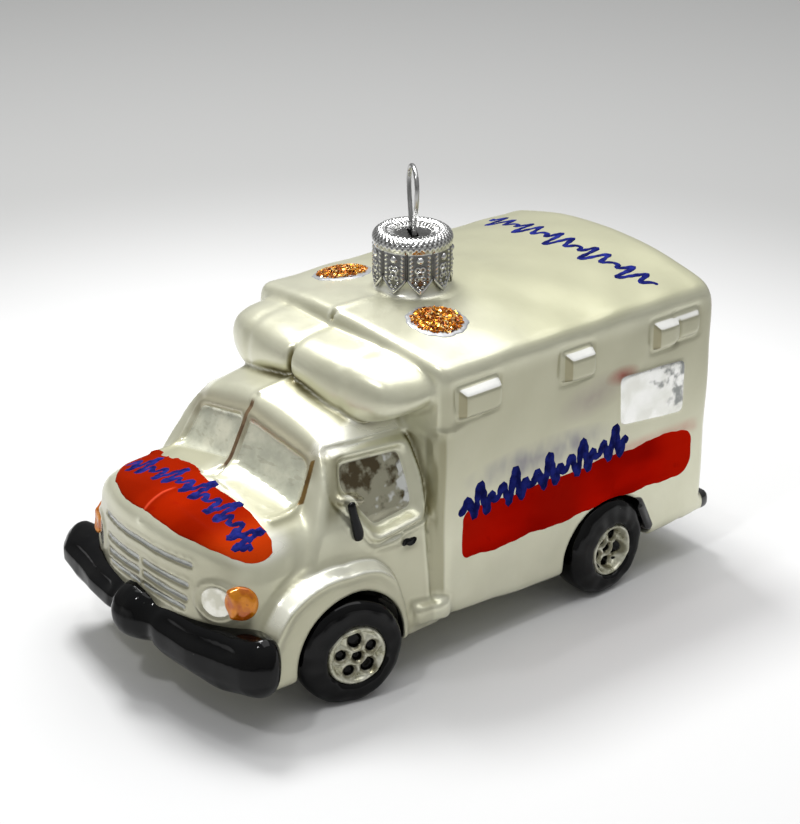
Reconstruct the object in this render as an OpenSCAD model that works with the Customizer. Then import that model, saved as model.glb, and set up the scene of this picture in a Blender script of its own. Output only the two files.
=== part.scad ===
// Blown glass tree ornament in the shape of an ambulance, with a stamped metal
// crown cap and a spring wire hanger. Millimetres. The ambulance's front faces
// -Y, its left side +X, up is +Z, and it stands on its four moulded wheels at
// Z = 0. The wheels, bumpers and light bar are blown in one with the shell.

/* [Patient box] */
// Width of the box
box_w = 50.2; // [44:0.2:56]
// Length of the box, from its front wall to its rear wall
box_l = 62.4; // [52:0.2:75]
// Height of the roof's side edges above the floor
box_top = 53; // [48:0.2:62]
// Height of the underside above the floor
box_bottom = 7; // [6:0.2:8]
// How far the roof rises from its side edges to its middle
roof_crown = 3.8; // [1:0.2:6]
// How far the front wall bows forward in the middle
box_bow = 3; // [0.5:0.1:5]
// Rounding of the long edges
box_edge_r = 1.8; // [1.4:0.1:3]
// Rounding of the rear wall's edges
box_rear_r = 5; // [3:0.1:8]

/* [Cab] */
// Length of the cab in front of the box, at the belt line
cab_l = 25.2; // [20:0.2:30]
// Width of the cab at its sill
cab_w = 48; // [42:0.2:52]
// Width of the cab at the belt line
cab_belt_w = 42.4; // [36:0.2:46]
// Width of the cab's roof
cab_roof_w = 33; // [28:0.2:38]
// Height of the cab's roof above the floor, in the middle
cab_top = 47; // [43:0.2:49]
// How far the cab's roof falls towards its sides
cab_crown = 3; // [1:0.1:5]
// Height of the windscreen's lower edge
belt_z = 34.8; // [31:0.2:38]
// How far the windscreen leans back
screen_lean = 7; // [3:0.2:12]

/* [Hood] */
// Length of the hood in front of the windscreen
hood_l = 17.2; // [14:0.2:22]
// Width of the hood
hood_w = 41; // [36:0.2:46]
// How far the hood falls from the windscreen to its nose
hood_fall = 2.8; // [0:0.1:6]
// How far the nose bows forward in the middle
nose_bow = 4; // [1:0.1:6]

/* [Bumpers] */
// Width over the front bumper
bumper_w = 59; // [54:0.2:64]
// Depth of the front bumper in front of the nose
bumper_d = 3.6; // [2.5:0.1:5]
// Height of the front bumper's lower edge
bumper_z = 8; // [6:0.1:10]
// Height of the front bumper
bumper_h = 9.6; // [7:0.1:11]
// Depth of the rear bumper behind the box
rear_bumper_d = 1.6; // [1.2:0.1:3]

/* [Wheels] */
// Distance between the front and rear wheels' centres
wheelbase = 56.8; // [50:0.2:62]
// Outer diameter of a tyre
tyre_d = 16.6; // [15:0.1:18]
// Width of a tyre
tyre_w = 7; // [5:0.1:9]
// Outer diameter of a wheel disc
rim_d = 10; // [8:0.1:12]
// How far the tyres stand out of the box's sides
tyre_out = 0.9; // [0.4:0.1:2]
// Angle at which the front wheels' faces turn towards the nose
front_toe = 12; // [0:1:20]

/* [Light bar] */
// Width over the light bar
bar_w = 47; // [38:0.2:50]
// Depth of the light bar in front of the box
bar_d = 12.4; // [9:0.2:15]
// Height of the light bar's top above the floor, in the middle
bar_top = 55.2; // [53:0.2:56.4]
// Thickness of the light bar in the middle
bar_h = 8.6; // [7:0.2:9.5]

/* [Roof lights] */
// Diameter of a glitter light's painted ring
ring_d = 10.4; // [8:0.2:12]
// Diameter of the glitter heap
glitter_d = 8.4; // [6:0.2:9.4]
// Height of the glitter heap above the ring
glitter_h = 0.6; // [0.3:0.1:1]
// Thickness of the painted ring
ring_h = 0.4; // [0.2:0.1:0.8]
// Distance of the left light's centre from the middle
left_light_x = 12.6; // [11.4:0.2:16]
// Distance of the right light's centre from the middle
right_light_x = 14.8; // [11.4:0.2:16]
// Distance of the left light in front of the neck
left_light_ahead = 5.3; // [0:0.1:10]
// Distance of the right light in front of the neck
right_light_ahead = 3.4; // [0:0.1:10]

/* [Glass] */
// Thickness of the blown glass
wall = 0.8; // [0.6:0.05:1]
// Outer diameter of the neck
neck_d = 11.8; // [10:0.1:13]
// Height of the neck above the roof's middle
neck_h = 9.9; // [8:0.1:11.4]
// Distance of the neck behind the box's front wall
neck_back = 14; // [12:0.2:18]

/* [Cap] */
// Outer diameter of the crown cap
cap_d = 13.9; // [13:0.1:15.5]
// Thickness of the cap's metal
cap_t = 0.3; // [0.25:0.05:0.4]
// Clear height between the petals' tips and the roof's middle
skirt_gap = 0.7; // [0.3:0.1:2]
// Radius of the cap's shoulder
cap_shoulder_r = 1.4; // [1:0.1:1.8]
// Diameter of the hollow in the cap's top
dimple_d = 5.8; // [5.4:0.1:6.5]
// Depth of the hollow in the cap's top
dimple_h = 0.8; // [0.4:0.1:1]
// Number of petals round the skirt
petals = 9; // [7:1:12]
// Height of the notches between the petals
notch_h = 2.5; // [1.5:0.1:3]

/* [Hanger] */
// Diameter of the spring wire
wire_d = 0.8; // [0.7:0.05:1]
// Width over the hanging loop
loop_w = 7.2; // [6.8:0.1:9]
// Height of the loop's top above the cap
loop_h = 11.2; // [10:0.1:14]
// Distance between the wire's two legs in the slot, centre to centre
leg_gap = 2.8; // [2.2:0.1:3]
// Length of the legs below the cap's top
leg_l = 15; // [12:0.2:20]
// How far the wire can be pulled up through the slot
pull = 2.5; // [1:0.1:3]
// Angle of the loop about the neck, from the ambulance's left
loop_turn = -28; // [-180:1:180]

/* [Hidden] */
// Every node's name, and the one to draw.

// Facets of a ball in the glass, and of the neck.
ball_fn = 16;
neck_fn = 64;
// Clearances: wire to slot, wire to neck, cap to neck rim, solid to glass.
slot_clear = 0.3;
leg_clear = 0.2;
seat_gap = 0.2;
glue_gap = 0.02;

// Lengthwise places. The bumpers' faces are equally far from the origin.
overall_l = box_l + cab_l + hood_l + bumper_d + rear_bumper_d;
rear_y = overall_l / 2 - rear_bumper_d;
box_front_y = rear_y - box_l;
screen_y = box_front_y - cab_l;
nose_y = screen_y - hood_l;
bumper_y = nose_y - bumper_d;
rear_axle_y = rear_y - 24.6;
front_axle_y = rear_axle_y - wheelbase;
neck_y = box_front_y + neck_back;

// Heights.
crown_top = box_top + roof_crown;
hood_rear_z = belt_z;
hood_front_z = belt_z - hood_fall;
sill_z = box_bottom + 0.4;
neck_top = crown_top + neck_h;
cap_top = neck_top + seat_gap + cap_t;
cap_bottom = crown_top + skirt_gap;
cap_h = cap_top - cap_bottom;
wheel_z = tyre_d / 2;
wheel_x = box_w / 2 + tyre_out;

// The roof's rise above its side edges at a distance from the middle. It is a
// low arch of four flats.
bend_x = box_w / 4;
bend_rise = roof_crown * 0.72;
function roof_rise(x) = abs(x) < bend_x
    ? roof_crown - (roof_crown - bend_rise) * abs(x) / bend_x
    : bend_rise * (1 - (abs(x) - bend_x) / (box_w / 2 - bend_x));

// A smooth closed form: the hull of balls [x, y, z, radius] and of their
// mirror images across the centre plane. An inset shrinks it evenly.
module form(balls, inset = 0)
    hull()
        for (b = balls, side = [-1, 1])
            translate([side * b[0], b[1], b[2]])
                sphere(r = b[3] - inset, $fn = ball_fn);

// Both of a pair, left and right.
module both_sides() {
    children();
    mirror([1, 0, 0]) children();
}

// The patient box, with a crowned roof and a bowed front wall.
module box_form(inset = 0) {
    r = box_edge_r;
    rr = box_rear_r;
    side_x = box_w / 2 - r;
    form(concat(
        [for (z = [box_bottom + r, box_top - r]) [side_x, box_front_y + r, z, r]],
        [for (z = [box_bottom + r, crown_top - r]) [0, box_front_y - box_bow + r, z, r]],
        [for (z = [box_bottom + rr, box_top - rr]) [box_w / 2 - rr, rear_y - rr, z, rr]],
        [[side_x, rear_y - 2 * rr, box_top - r, r]],
        [for (y = [box_front_y + r, rear_y - 1.6 * rr])
            [bend_x, y, box_top + bend_rise - r, r]],
        [[0, rear_y - 1.6 * rr, crown_top - r, r]]
    ), inset);
}

// The cab, from its floor to its falling roof, with a leaning windscreen.
module cab_form(inset = 0) {
    r = 2.6;
    back_y = box_front_y + 3;
    roof_y = screen_y + screen_lean;
    form(concat(
        [for (y = [screen_y + 4, back_y]) [cab_w / 2 - r, y, sill_z + r, r]],
        [for (y = [screen_y + 3, back_y]) [cab_belt_w / 2 - r, y, belt_z - 3 - r, r]],
        [for (y = [roof_y + 4, back_y]) [cab_roof_w / 2 - r, y, cab_top - cab_crown - r, r]],
        [for (y = [roof_y + r, back_y]) [0, y, cab_top - r, r]],
        [[0, screen_y + r, belt_z - r, r]]
    ), inset);
}

// The hood and the nose below it.
module hood_form(inset = 0) {
    r = 3;
    corner_y = nose_y + nose_bow + r;
    form(concat(
        [for (y = [corner_y, screen_y + 6]) [hood_w / 2 - r, y, sill_z + r + 3, r]],
        [[hood_w / 2 - r, corner_y, hood_front_z - 2 - r, r]],
        [[hood_w / 2 - r, screen_y + 6, hood_rear_z - 1 - r, r]],
        [for (z = [sill_z + 3 + r, hood_front_z - r]) [0, nose_y + r, z, r]],
        [for (z = [sill_z + 3 + r, hood_front_z - r - 0.4]) [hood_w / 4, nose_y + r + 0.9, z, r]],
        [[0, screen_y + 6, hood_rear_z - r, r]]
    ), inset);
}

// The flares over the front wheels.
module fender_form(inset = 0) {
    r = 2;
    reach = tyre_d / 2 + 3;
    form([for (a = [0:30:180])
        [box_w / 2 - r, front_axle_y + (reach - r) * cos(a), wheel_z + (reach - r) * sin(a), r]],
        inset);
}

// The light bar over the cab, thinner towards its tips.
module bar_form(inset = 0) {
    r = 3.4;
    tip_r = 2.8;
    tip_z = bar_top - 5.8;
    form([
        [0, box_front_y - bar_d + r, bar_top - bar_h + r, r],
        [0, box_front_y - bar_d + r + 1.4, bar_top - r, r],
        [0, box_front_y, bar_top - r, r],
        [bar_w / 2 - 6, box_front_y - bar_d + r + 1, bar_top - bar_h + r - 0.4, r],
        [bar_w / 2 - 6, box_front_y - bar_d + r + 3, bar_top - 2 - r, r],
        [bar_w / 2 - tip_r, box_front_y - bar_d / 2, tip_z, tip_r],
        [bar_w / 2 - tip_r, box_front_y, tip_z, tip_r]
    ], inset);
}

// The front bumper, wrapped round the nose, and the rear bumper's rail.
module bumper_forms(inset = 0) {
    r = 3;
    low = bumper_z + r;
    high = bumper_z + bumper_h - r;
    form([
        [0, bumper_y + r, low + 1, r],
        [0, bumper_y + r, high + 1, r],
        [bumper_w / 4, bumper_y + r + 1, low, r],
        [bumper_w / 4, bumper_y + r + 1, high, r],
        [bumper_w / 2 - r, bumper_y + nose_bow + r + 2, low + 1, r],
        [bumper_w / 2 - r, bumper_y + nose_bow + r + 2, high - 1, r],
        [hood_w / 2, bumper_y + 3 * r + 2, low, r]
    ], inset);
    rail_r = 1.6;
    form([for (y = [rear_y - 4, overall_l / 2 - rail_r], z = [2.6, 4.6])
        [box_w / 2 - rail_r - 1, y, box_bottom + z, rail_r]], inset);
}

// The steps behind the cab's doors, at the foot of the box.
module step_form(inset = 0) {
    r = 1.8;
    form([for (y = [box_front_y - 5, box_front_y + 1])
        [box_w / 2 - r - 0.6, y, sill_z + r, r]], inset);
}

// One wheel: a rounded tyre with a flat disc, hollow like the rest of the shell.
module wheel(inset = 0) {
    round_r = 2;
    rotate([0, 90, 0])
        rotate_extrude($fn = 40)
            polygon(concat(
                [[0, -tyre_w + inset]],
                [for (a = [0:30:90])
                    [tyre_d / 2 - round_r + (round_r - inset) * cos(a),
                     -round_r + (round_r - inset) * sin(a)]],
                [[0, -inset]],
                [[0, -tyre_w + inset]]
            ));
}

module wheels(inset = 0)
    both_sides() {
        translate([wheel_x, front_axle_y, wheel_z]) rotate([0, 0, -front_toe]) wheel(inset);
        translate([wheel_x, rear_axle_y, wheel_z]) wheel(inset);
    }

// Everything blown in the mould, as an outer skin or, with an inset, as the hollow.
module blown_form(inset = 0) {
    box_form(inset);
    cab_form(inset);
    hood_form(inset);
    fender_form(inset);
    bar_form(inset);
    bumper_forms(inset);
    step_form(inset);
    wheels(inset);
}

// The glass shell: one hollow blowing, open only at its neck.
module glass_body() color([0.93, 0.93, 0.87])
    difference() {
        union() {
            blown_form();
            translate([0, neck_y, crown_top - 3])
                cylinder(d = neck_d, h = neck_h + 3, $fn = neck_fn);
        }
        blown_form(wall);
        translate([0, neck_y, crown_top - 4])
            cylinder(d = neck_d - 2 * wall, h = neck_h + 5, $fn = neck_fn);
    }

// A glitter light: a painted ring with a heap of glitter, lying on the roof.
// Its underside is cut to the roof it lies on.
module roof_light(x, ahead) {
    half = ring_d / 2;
    inner_z = roof_rise(abs(x) - half);
    outer_z = roof_rise(abs(x) + half);
    lean = atan((inner_z - outer_z) / ring_d);
    sink = roof_rise(x) - (inner_z + outer_z) / 2 + 2;
    difference() {
        translate([x, neck_y - ahead, box_top + roof_rise(x)])
            rotate([0, sign(x) * lean, 0])
                translate([0, 0, -sink]) {
                    cylinder(d = ring_d, h = sink + ring_h);
                    cylinder(d = glitter_d, h = sink + ring_h + glitter_h);
                }
        translate([0, 0, glue_gap]) box_form();
    }
}

module roof_light_left() color([0.62, 0.32, 0.08])
    roof_light(left_light_x, left_light_ahead);
module roof_light_right() color([0.62, 0.32, 0.08])
    roof_light(-right_light_x, right_light_ahead);

// The crown cap: a turned sheet-metal cup with a hollow top, a slot for the
// wire and a skirt cut into pointed petals.
module cap() color([0.8, 0.8, 0.82]) {
    r = cap_d / 2;
    s = cap_shoulder_r;
    slot_l = leg_gap + wire_d + 2 * slot_clear;
    slot_w = wire_d + 2 * slot_clear;
    translate([0, neck_y, cap_bottom])
        difference() {
            rotate_extrude($fn = 72)
                polygon(concat(
                    [[r - cap_t, 0], [r, 0]],
                    [for (a = [0:15:90]) [r - s + s * cos(a), cap_h - s + s * sin(a)]],
                    [[dimple_d / 2 + cap_t, cap_h], [dimple_d / 2, cap_h - dimple_h],
                     [0, cap_h - dimple_h], [0, cap_h - dimple_h - cap_t],
                     [dimple_d / 2 + cap_t, cap_h - dimple_h - cap_t],
                     [dimple_d / 2 + 2 * cap_t, cap_h - cap_t]],
                    [for (a = [90:-15:0])
                        [r - s + (s - cap_t) * cos(a), cap_h - s + (s - cap_t) * sin(a)]]
                ));
            for (i = [0:petals - 1])
                rotate([0, 0, loop_turn + 360 / petals * i])
                    petal_notch(r);
            rotate([0, 0, loop_turn])
                translate([-slot_l / 2, -slot_w / 2, cap_h - dimple_h - 2 * cap_t])
                    cube([slot_l, slot_w, 3 * cap_t]);
        }
}

// The V cut between two petals.
module petal_notch(r) {
    half = r * sin(180 / petals) + 0.2;
    translate([r + 1, 0, 0])
        rotate([90, 0, -90])
            linear_extrude(height = 3)
                polygon([[-half, -0.3], [half, -0.3], [0, notch_h]]);
}

// Half of the wire's centreline from the loop's top to a leg's foot, as
// [distance from the middle, height above the cap's top]. The legs stay
// parallel through the slot for the length of the pull.
wire_r = wire_d / 2;
arc_r = loop_w / 2 - wire_r;
leg_x = leg_gap / 2;
foot_x = neck_d / 2 - wall - wire_r - leg_clear;
slot_z = -dimple_h;
straight_z = slot_z - pull - 2 * cap_t;
function ease(t) = (1 - cos(180 * t)) / 2;
half_line = concat(
    [for (a = [90:-15:0]) [arc_r * cos(a), loop_h - wire_r - arc_r + arc_r * sin(a)]],
    [for (i = [1:6]) let (t = i / 6)
        [arc_r + (leg_x - arc_r) * ease(t),
         (loop_h - wire_r - arc_r) * (1 - t) + (slot_z + 0.4) * t]],
    [[leg_x, straight_z]],
    [for (i = [1:5]) let (t = i / 5)
        [leg_x + (foot_x - leg_x) * ease(t), straight_z - (leg_l + straight_z) * 0.6 * t]],
    [[foot_x, -leg_l]]
);
wire_line = concat(
    [for (i = [len(half_line) - 1:-1:1]) [-half_line[i][0], half_line[i][1]]],
    half_line
);

// A round wire swept along a line in the XZ plane, as one closed surface.
function along(line, i) =
    let (a = line[max(i - 1, 0)], b = line[min(i + 1, len(line) - 1)], d = b - a)
        d / norm(d);
module planar_wire(line, r, sides = 12) {
    n = len(line);
    points = [for (i = [0:n - 1], k = [0:sides - 1])
        let (t = along(line, i), a = 360 * k / sides)
            [line[i][0] - r * cos(a) * t[1], r * sin(a), line[i][1] + r * cos(a) * t[0]]];
    walls = [for (i = [0:n - 2], k = [0:sides - 1])
        let (j = (k + 1) % sides)
            [i * sides + k, i * sides + j, (i + 1) * sides + j, (i + 1) * sides + k]];
    ends = [[for (k = [sides - 1:-1:0]) k], [for (k = [0:sides - 1]) (n - 1) * sides + k]];
    polyhedron(points, concat(walls, ends));
}

module hanger_wire() color([0.72, 0.72, 0.72])
    translate([0, neck_y, cap_top])
        rotate([0, 0, loop_turn])
            planar_wire(wire_line, wire_r);

glass_body();
roof_light_left();
roof_light_right();
cap();
hanger_wire();
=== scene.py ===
import math
import bpy
import numpy as np
from mathutils import Matrix, Vector


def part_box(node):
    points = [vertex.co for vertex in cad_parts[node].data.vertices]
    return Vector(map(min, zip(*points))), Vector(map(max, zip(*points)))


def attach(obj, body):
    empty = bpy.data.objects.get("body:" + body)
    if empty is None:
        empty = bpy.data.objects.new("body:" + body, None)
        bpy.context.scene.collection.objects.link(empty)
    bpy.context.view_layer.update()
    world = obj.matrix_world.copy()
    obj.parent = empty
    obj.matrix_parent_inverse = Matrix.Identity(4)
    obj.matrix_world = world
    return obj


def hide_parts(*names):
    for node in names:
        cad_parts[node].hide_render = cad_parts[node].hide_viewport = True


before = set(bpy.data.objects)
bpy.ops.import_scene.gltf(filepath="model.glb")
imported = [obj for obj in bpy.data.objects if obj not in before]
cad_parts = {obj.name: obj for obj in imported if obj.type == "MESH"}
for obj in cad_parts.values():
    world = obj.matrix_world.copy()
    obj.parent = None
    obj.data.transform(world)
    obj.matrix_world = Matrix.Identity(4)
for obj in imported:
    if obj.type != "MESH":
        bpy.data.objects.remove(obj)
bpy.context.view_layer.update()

MM = 0.001
FAR = 1e9


# ---------------------------------------------------------------- soft shapes
def smin(a, b, k):
    """Union of two fields with a fillet about k wide."""
    h = np.maximum(k - np.abs(a - b), 0.0) / k
    return np.minimum(a, b) - h * h * (k * 0.25)


def smax(a, b, k):
    """Intersection of two fields with a rounded edge about k wide."""
    return -smin(-a, -b, k)


def ramp(v, lo, hi):
    """Smooth step from 0 at lo to 1 at hi."""
    t = np.clip((v - lo) / (hi - lo), 0.0, 1.0)
    return t * t * (3.0 - 2.0 * t)


def bump(v, width):
    """A bell, 1 at v = 0."""
    return np.exp(-(v / width) ** 2)


def interp(v, xs, ys):
    """Straight lines through (xs, ys), as single precision."""
    return np.interp(v, xs, ys).astype(np.float32)


def seg_dist(px, py, a, b):
    """Distance in a plane from points to the segment a-b."""
    dx, dy = b[0] - a[0], b[1] - a[1]
    t = np.clip(((px - a[0]) * dx + (py - a[1]) * dy) / (dx * dx + dy * dy), 0.0, 1.0)
    return np.sqrt((px - a[0] - t * dx) ** 2 + (py - a[1] - t * dy) ** 2)


def polygon_sides(pts):
    """Each side of a convex polygon as nx, ny, d, where nx * x + ny * y - d is the distance inside it."""
    cx, cy = (sum(v) / len(pts) for v in zip(*pts))
    for (ax, ay), (bx, by) in zip(pts, pts[1:] + pts[:1]):
        n = math.hypot(by - ay, ax - bx)
        nx, ny = (by - ay) / n, (ax - bx) / n
        if nx * (cx - ax) + ny * (cy - ay) < 0:
            nx, ny = -nx, -ny
        yield nx, ny, nx * ax + ny * ay


def quad_dist(px, py, pts, k=1.0):
    """Distance field of a convex polygon, negative inside, with rounded corners."""
    f = None
    for nx, ny, d in polygon_sides(pts):
        out = d - nx * px - ny * py
        f = out if f is None else smax(f, out, k)
    return f


class Field:
    """A scalar field on a grid over x >= 0 that is mirrored when it is meshed."""

    def __init__(self, step, lo, hi):
        self.h = step
        self.x = (np.arange(int(math.ceil(hi[0] / step)) + 1) + 0.5).astype(np.float32) * step
        self.y = np.arange(lo[1], hi[1] + step, step).astype(np.float32)
        self.z = np.arange(lo[2], hi[2] + step, step).astype(np.float32)
        self.f = np.full((len(self.x), len(self.y), len(self.z)), 9.0, np.float32)

    def region(self, lo, hi):
        """Slices and open coordinate arrays of the part of the grid in a box."""
        out, axes = [], []
        for n, (v, a, b) in enumerate(zip((self.x, self.y, self.z), lo, hi)):
            i, j = np.searchsorted(v, a), np.searchsorted(v, b, "right")
            out.append(slice(int(i), int(j)))
            shape = [1, 1, 1]
            shape[n] = -1
            axes.append(v[i:j].reshape(shape))
        return tuple(out), axes

    def add(self, fn, k, lo=(0, -FAR, -FAR), hi=(FAR, FAR, FAR)):
        s, (x, y, z) = self.region(lo, hi)
        self.f[s] = smin(self.f[s], fn(x, y, z), k)

    def cut(self, fn, k, lo, hi):
        s, (x, y, z) = self.region(lo, hi)
        self.f[s] = smax(self.f[s], -fn(x, y, z), k)

    def raise_by(self, fn, lo, hi):
        """Move the surface outward by fn(x, y, z)."""
        s, (x, y, z) = self.region(lo, hi)
        self.f[s] = self.f[s] - fn(x, y, z)

    def full(self):
        f = np.concatenate([self.f[::-1], self.f], axis=0)
        x = np.concatenate([-self.x[::-1], self.x])
        return f, np.array([x[0], self.y[0], self.z[0]], np.float32)


def surface_net(f, origin, h):
    """Naive surface nets: one vertex a cell, one quad a crossed grid edge."""
    inside = f < 0
    cx, cy, cz = (n - 1 for n in f.shape)
    cells = cx * cy * cz
    total = np.zeros((cells, 3), np.float64)
    count = np.zeros(cells, np.int64)
    crossings = []
    for axis in range(3):
        a, b = [slice(None)] * 3, [slice(None)] * 3
        a[axis], b[axis] = slice(0, -1), slice(1, None)
        ia, ib = inside[tuple(a)], inside[tuple(b)]
        idx = np.argwhere(ia != ib)
        fa, fb = f[tuple(a)][tuple(idx.T)], f[tuple(b)][tuple(idx.T)]
        p = idx.astype(np.float64)
        p[:, axis] += fa / (fa - fb)
        u, v = (axis + 1) % 3, (axis + 2) % 3
        ids = []
        ok = np.ones(len(idx), bool)
        for du, dv in ((-1, -1), (0, -1), (0, 0), (-1, 0)):
            c = idx.copy()
            c[:, u] += du
            c[:, v] += dv
            ok &= (c[:, u] >= 0) & (c[:, v] >= 0)
            ok &= (c[:, u] < f.shape[u] - 1) & (c[:, v] < f.shape[v] - 1)
            ids.append((c[:, 0] * cy + c[:, 1]) * cz + c[:, 2])
        ids = np.stack(ids, 1)[ok]
        p = p[ok]
        flip = ~ia[tuple(idx.T)][ok]
        for k in range(4):
            for m in range(3):
                total[:, m] += np.bincount(ids[:, k], p[:, m], cells)
            count += np.bincount(ids[:, k], minlength=cells)
        ids[flip] = ids[flip][:, ::-1]
        crossings.append(ids)
    used = np.flatnonzero(count)
    index = np.full(cells, -1, np.int64)
    index[used] = np.arange(len(used))
    verts = total[used] / count[used][:, None] * h + origin
    quads = index[np.concatenate(crossings)]
    return verts, quads


def sample(f, origin, h, p):
    """Trilinear values of a grid at points."""
    q = (p - origin) / h
    q = np.clip(q, 0, np.array(f.shape) - 1.001)
    i = q.astype(np.int64)
    t = q - i
    out = 0.0
    for dx in (0, 1):
        for dy in (0, 1):
            for dz in (0, 1):
                w = (t[:, 0] if dx else 1 - t[:, 0]) * (t[:, 1] if dy else 1 - t[:, 1])
                w = w * (t[:, 2] if dz else 1 - t[:, 2])
                out = out + w * f[i[:, 0] + dx, i[:, 1] + dy, i[:, 2] + dz]
    return out


def unit(v):
    return v / np.maximum(np.linalg.norm(v, axis=-1, keepdims=True), 1e-9)


def gradient(f, origin, h, p):
    """Unit normals of a field at points."""
    steps = np.eye(3) * h * 0.75
    return unit(np.stack([sample(f, origin, h, p + d) - sample(f, origin, h, p - d) for d in steps], 1))


def snapped(f, origin, h, verts):
    """Vertices moved onto the field's zero level."""
    for _ in range(2):
        g = gradient(f, origin, h, verts)
        verts = verts - g * (sample(f, origin, h, verts) * 0.8)[:, None]
    return verts


# ------------------------------------------------------------ mesh and object
def mesh_object(name, verts, faces, smooth=True):
    """An object from millimetre vertices and quads; a triangle repeats its first corner."""
    faces = np.asarray(faces)
    me = bpy.data.meshes.new(name)
    me.vertices.add(len(verts))
    me.vertices.foreach_set("co", (np.asarray(verts, np.float32) * MM).ravel())
    tri = faces[:, 3] == faces[:, 0]
    size = np.where(tri, 3, 4)
    keep = np.ones(faces.shape, bool)
    keep[tri, 3] = False
    me.loops.add(int(size.sum()))
    me.loops.foreach_set("vertex_index", faces[keep].astype(np.int32))
    me.polygons.add(len(faces))
    me.polygons.foreach_set("loop_start", np.concatenate([[0], np.cumsum(size)[:-1]]).astype(np.int32))
    me.polygons.foreach_set("use_smooth", np.full(len(faces), smooth))
    me.update(calc_edges=True)
    me.validate()
    ob = bpy.data.objects.new(name, me)
    bpy.context.scene.collection.objects.link(ob)
    return ob


def decimate(ob, triangles):
    """Thin an object's mesh to about so many triangles."""
    old = ob.data
    now = sum(len(p.vertices) - 2 for p in old.polygons)
    if now <= triangles:
        return
    ob.modifiers.new("fewer", "DECIMATE").ratio = triangles / now
    ob.data = bpy.data.meshes.new_from_object(ob.evaluated_get(bpy.context.evaluated_depsgraph_get()))
    ob.modifiers.clear()
    bpy.data.meshes.remove(old)
    ob.data.polygons.foreach_set("use_smooth", np.ones(len(ob.data.polygons), bool))


def corners_mm(box):
    """A CAD box's lower corner, upper corner and middle, in millimetres."""
    lo, hi = (np.array(v) / MM for v in box)
    return lo, hi, (lo + hi) / 2


def ring_quads(rows, n, looped=False):
    """Quads between rows of n points, each row a closed ring; looped also joins the last row to the first."""
    i = np.arange(rows if looped else rows - 1)[:, None]
    k = np.arange(n)[None]
    j, i2 = (k + 1) % n, (i + 1) % rows
    return np.stack([i * n + k, i2 * n + k, i2 * n + j, i * n + j], -1).reshape(-1, 4)


def flipped(quads):
    """The same quads, each turned over but still starting at its first corner."""
    return quads[:, [0, 3, 2, 1]]


def fan(centre, line):
    """Triangles from one corner to each pair of neighbours in a line of corners."""
    c = np.full(len(line) - 1, centre)
    return np.stack([c, line[:-1], line[1:], c], 1)


def ring(n, base=0):
    """The corners of a closed ring, its first one repeated at the end."""
    return np.append(np.arange(n), 0) + base


def coords(ob):
    co = np.empty(len(ob.data.vertices) * 3, np.float32)
    ob.data.vertices.foreach_get("co", co)
    return co.reshape(-1, 3) / MM


def attribute(ob, name, values):
    at = ob.data.attributes.new(name, "FLOAT", "POINT")
    at.data.foreach_set("value", np.asarray(values, np.float32))


# ------------------------------------------------- the blown shell's own shape
BOX_X, BOX_FRONT, BOX_REAR = 25.1, -9.0, 54.2
ROOF_SIDE, ROOF_MID = 53.1, 56.8
NECK_Y, NECK_R, NECK_BORE, NECK_FLOOR = 5.0, 5.9, 5.1, 46.0
ARCH_F, ARCH_R = (-28.6, 8.8, 10.9), (29.4, 8.0, 10.5)
SIDE_BAND = [(-4.9, 26.9), (-4.9, 17.8), (49.3, 17.6), (49.4, 27.1)]
SIDE_WINDOW = [(30.4, 41.3), (45.9, 40.6), (46.4, 30.4), (31.0, 32.1)]
DOOR_WINDOW = [(-25.2, 39.3), (-12.7, 38.5), (-12.0, 31.2), (-12.4, 28.8), (-20.9, 27.7), (-26.3, 35.3)]
REAR_WINDOW = [(3.2, 44.8), (15.8, 44.4), (15.8, 33.4), (3.2, 33.0)]
REAR_DOOR_X = 19.4
TAIL_LAMP = (21.6, 19.8)
NOSE_LAMP = (16.6, -49.6, 21.7)
PANE = [(0.9, 35.7), (15.7, 32.6), (14.6, 39.4), (0.9, 42.7)]
SLOTS = ((27.2, 0.0, 11.6, 0.3), (23.7, 0.9, 10.9, 0.5), (21.5, 0.9, 10.7, 0.8), (19.4, 0.9, 10.2, 0.4))

# Raised blocks along the box's upper side: Y and Z ends, the front bevel's lean, and how far each stands out.
LAMP_BLOCKS = ((-6.7, 2.3, 44.1, 49.7, 1.1, 1.5), (16.7, 23.5, 44.0, 49.5, 1.1, 1.5),
               (37.6, 43.6, 44.3, 49.6, 1.0, 1.5), (43.0, 48.9, 44.8, 49.7, 0.8, 0.9))


def roof_height(x):
    return ROOF_SIDE + (ROOF_MID - ROOF_SIDE) * (1 - (x / BOX_X) ** 2)


def box_shape(x, y, z):
    xr = np.clip(x / BOX_X, 0, 1.2)
    side = x - BOX_X + 0.2 * np.sin(z * 0.16 + 1.0) * np.sin(y * 0.11)
    top = (z - roof_height(x)) / np.sqrt(1 + (0.3 * xr) ** 2)
    front = (BOX_FRONT - 3.4 * (1 - xr * xr) - y) * 0.97
    rear = y - BOX_REAR - 0.012 * (z - 30.0)
    under = interp(y, [-9, 0, 15, 30, 53], [8.2, 7.2, 6.2, 6.4, 8.4]) - z
    f = smax(side, rear, 3.2)
    f = smax(f, smax(top, rear, 5.5), 2.4)
    f = smax(f, front, 2.0)
    return smax(f, under, 2.6)


def cab_side(z):
    """Half-width of the cab at a height."""
    return interp(z, [4, 9, 17, 24, 30, 34, 38, 41, 44, 50],
                  [24.2, 24.1, 23.6, 22.9, 21.8, 20.4, 18.7, 17.2, 15.6, 12.5])


def cab_roof(x, y):
    return interp(y, [-30, -27, -20, -9], [45.5, 46.2, 47.2, 47.4]) - 0.12 * x - 0.0075 * x * x


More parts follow.
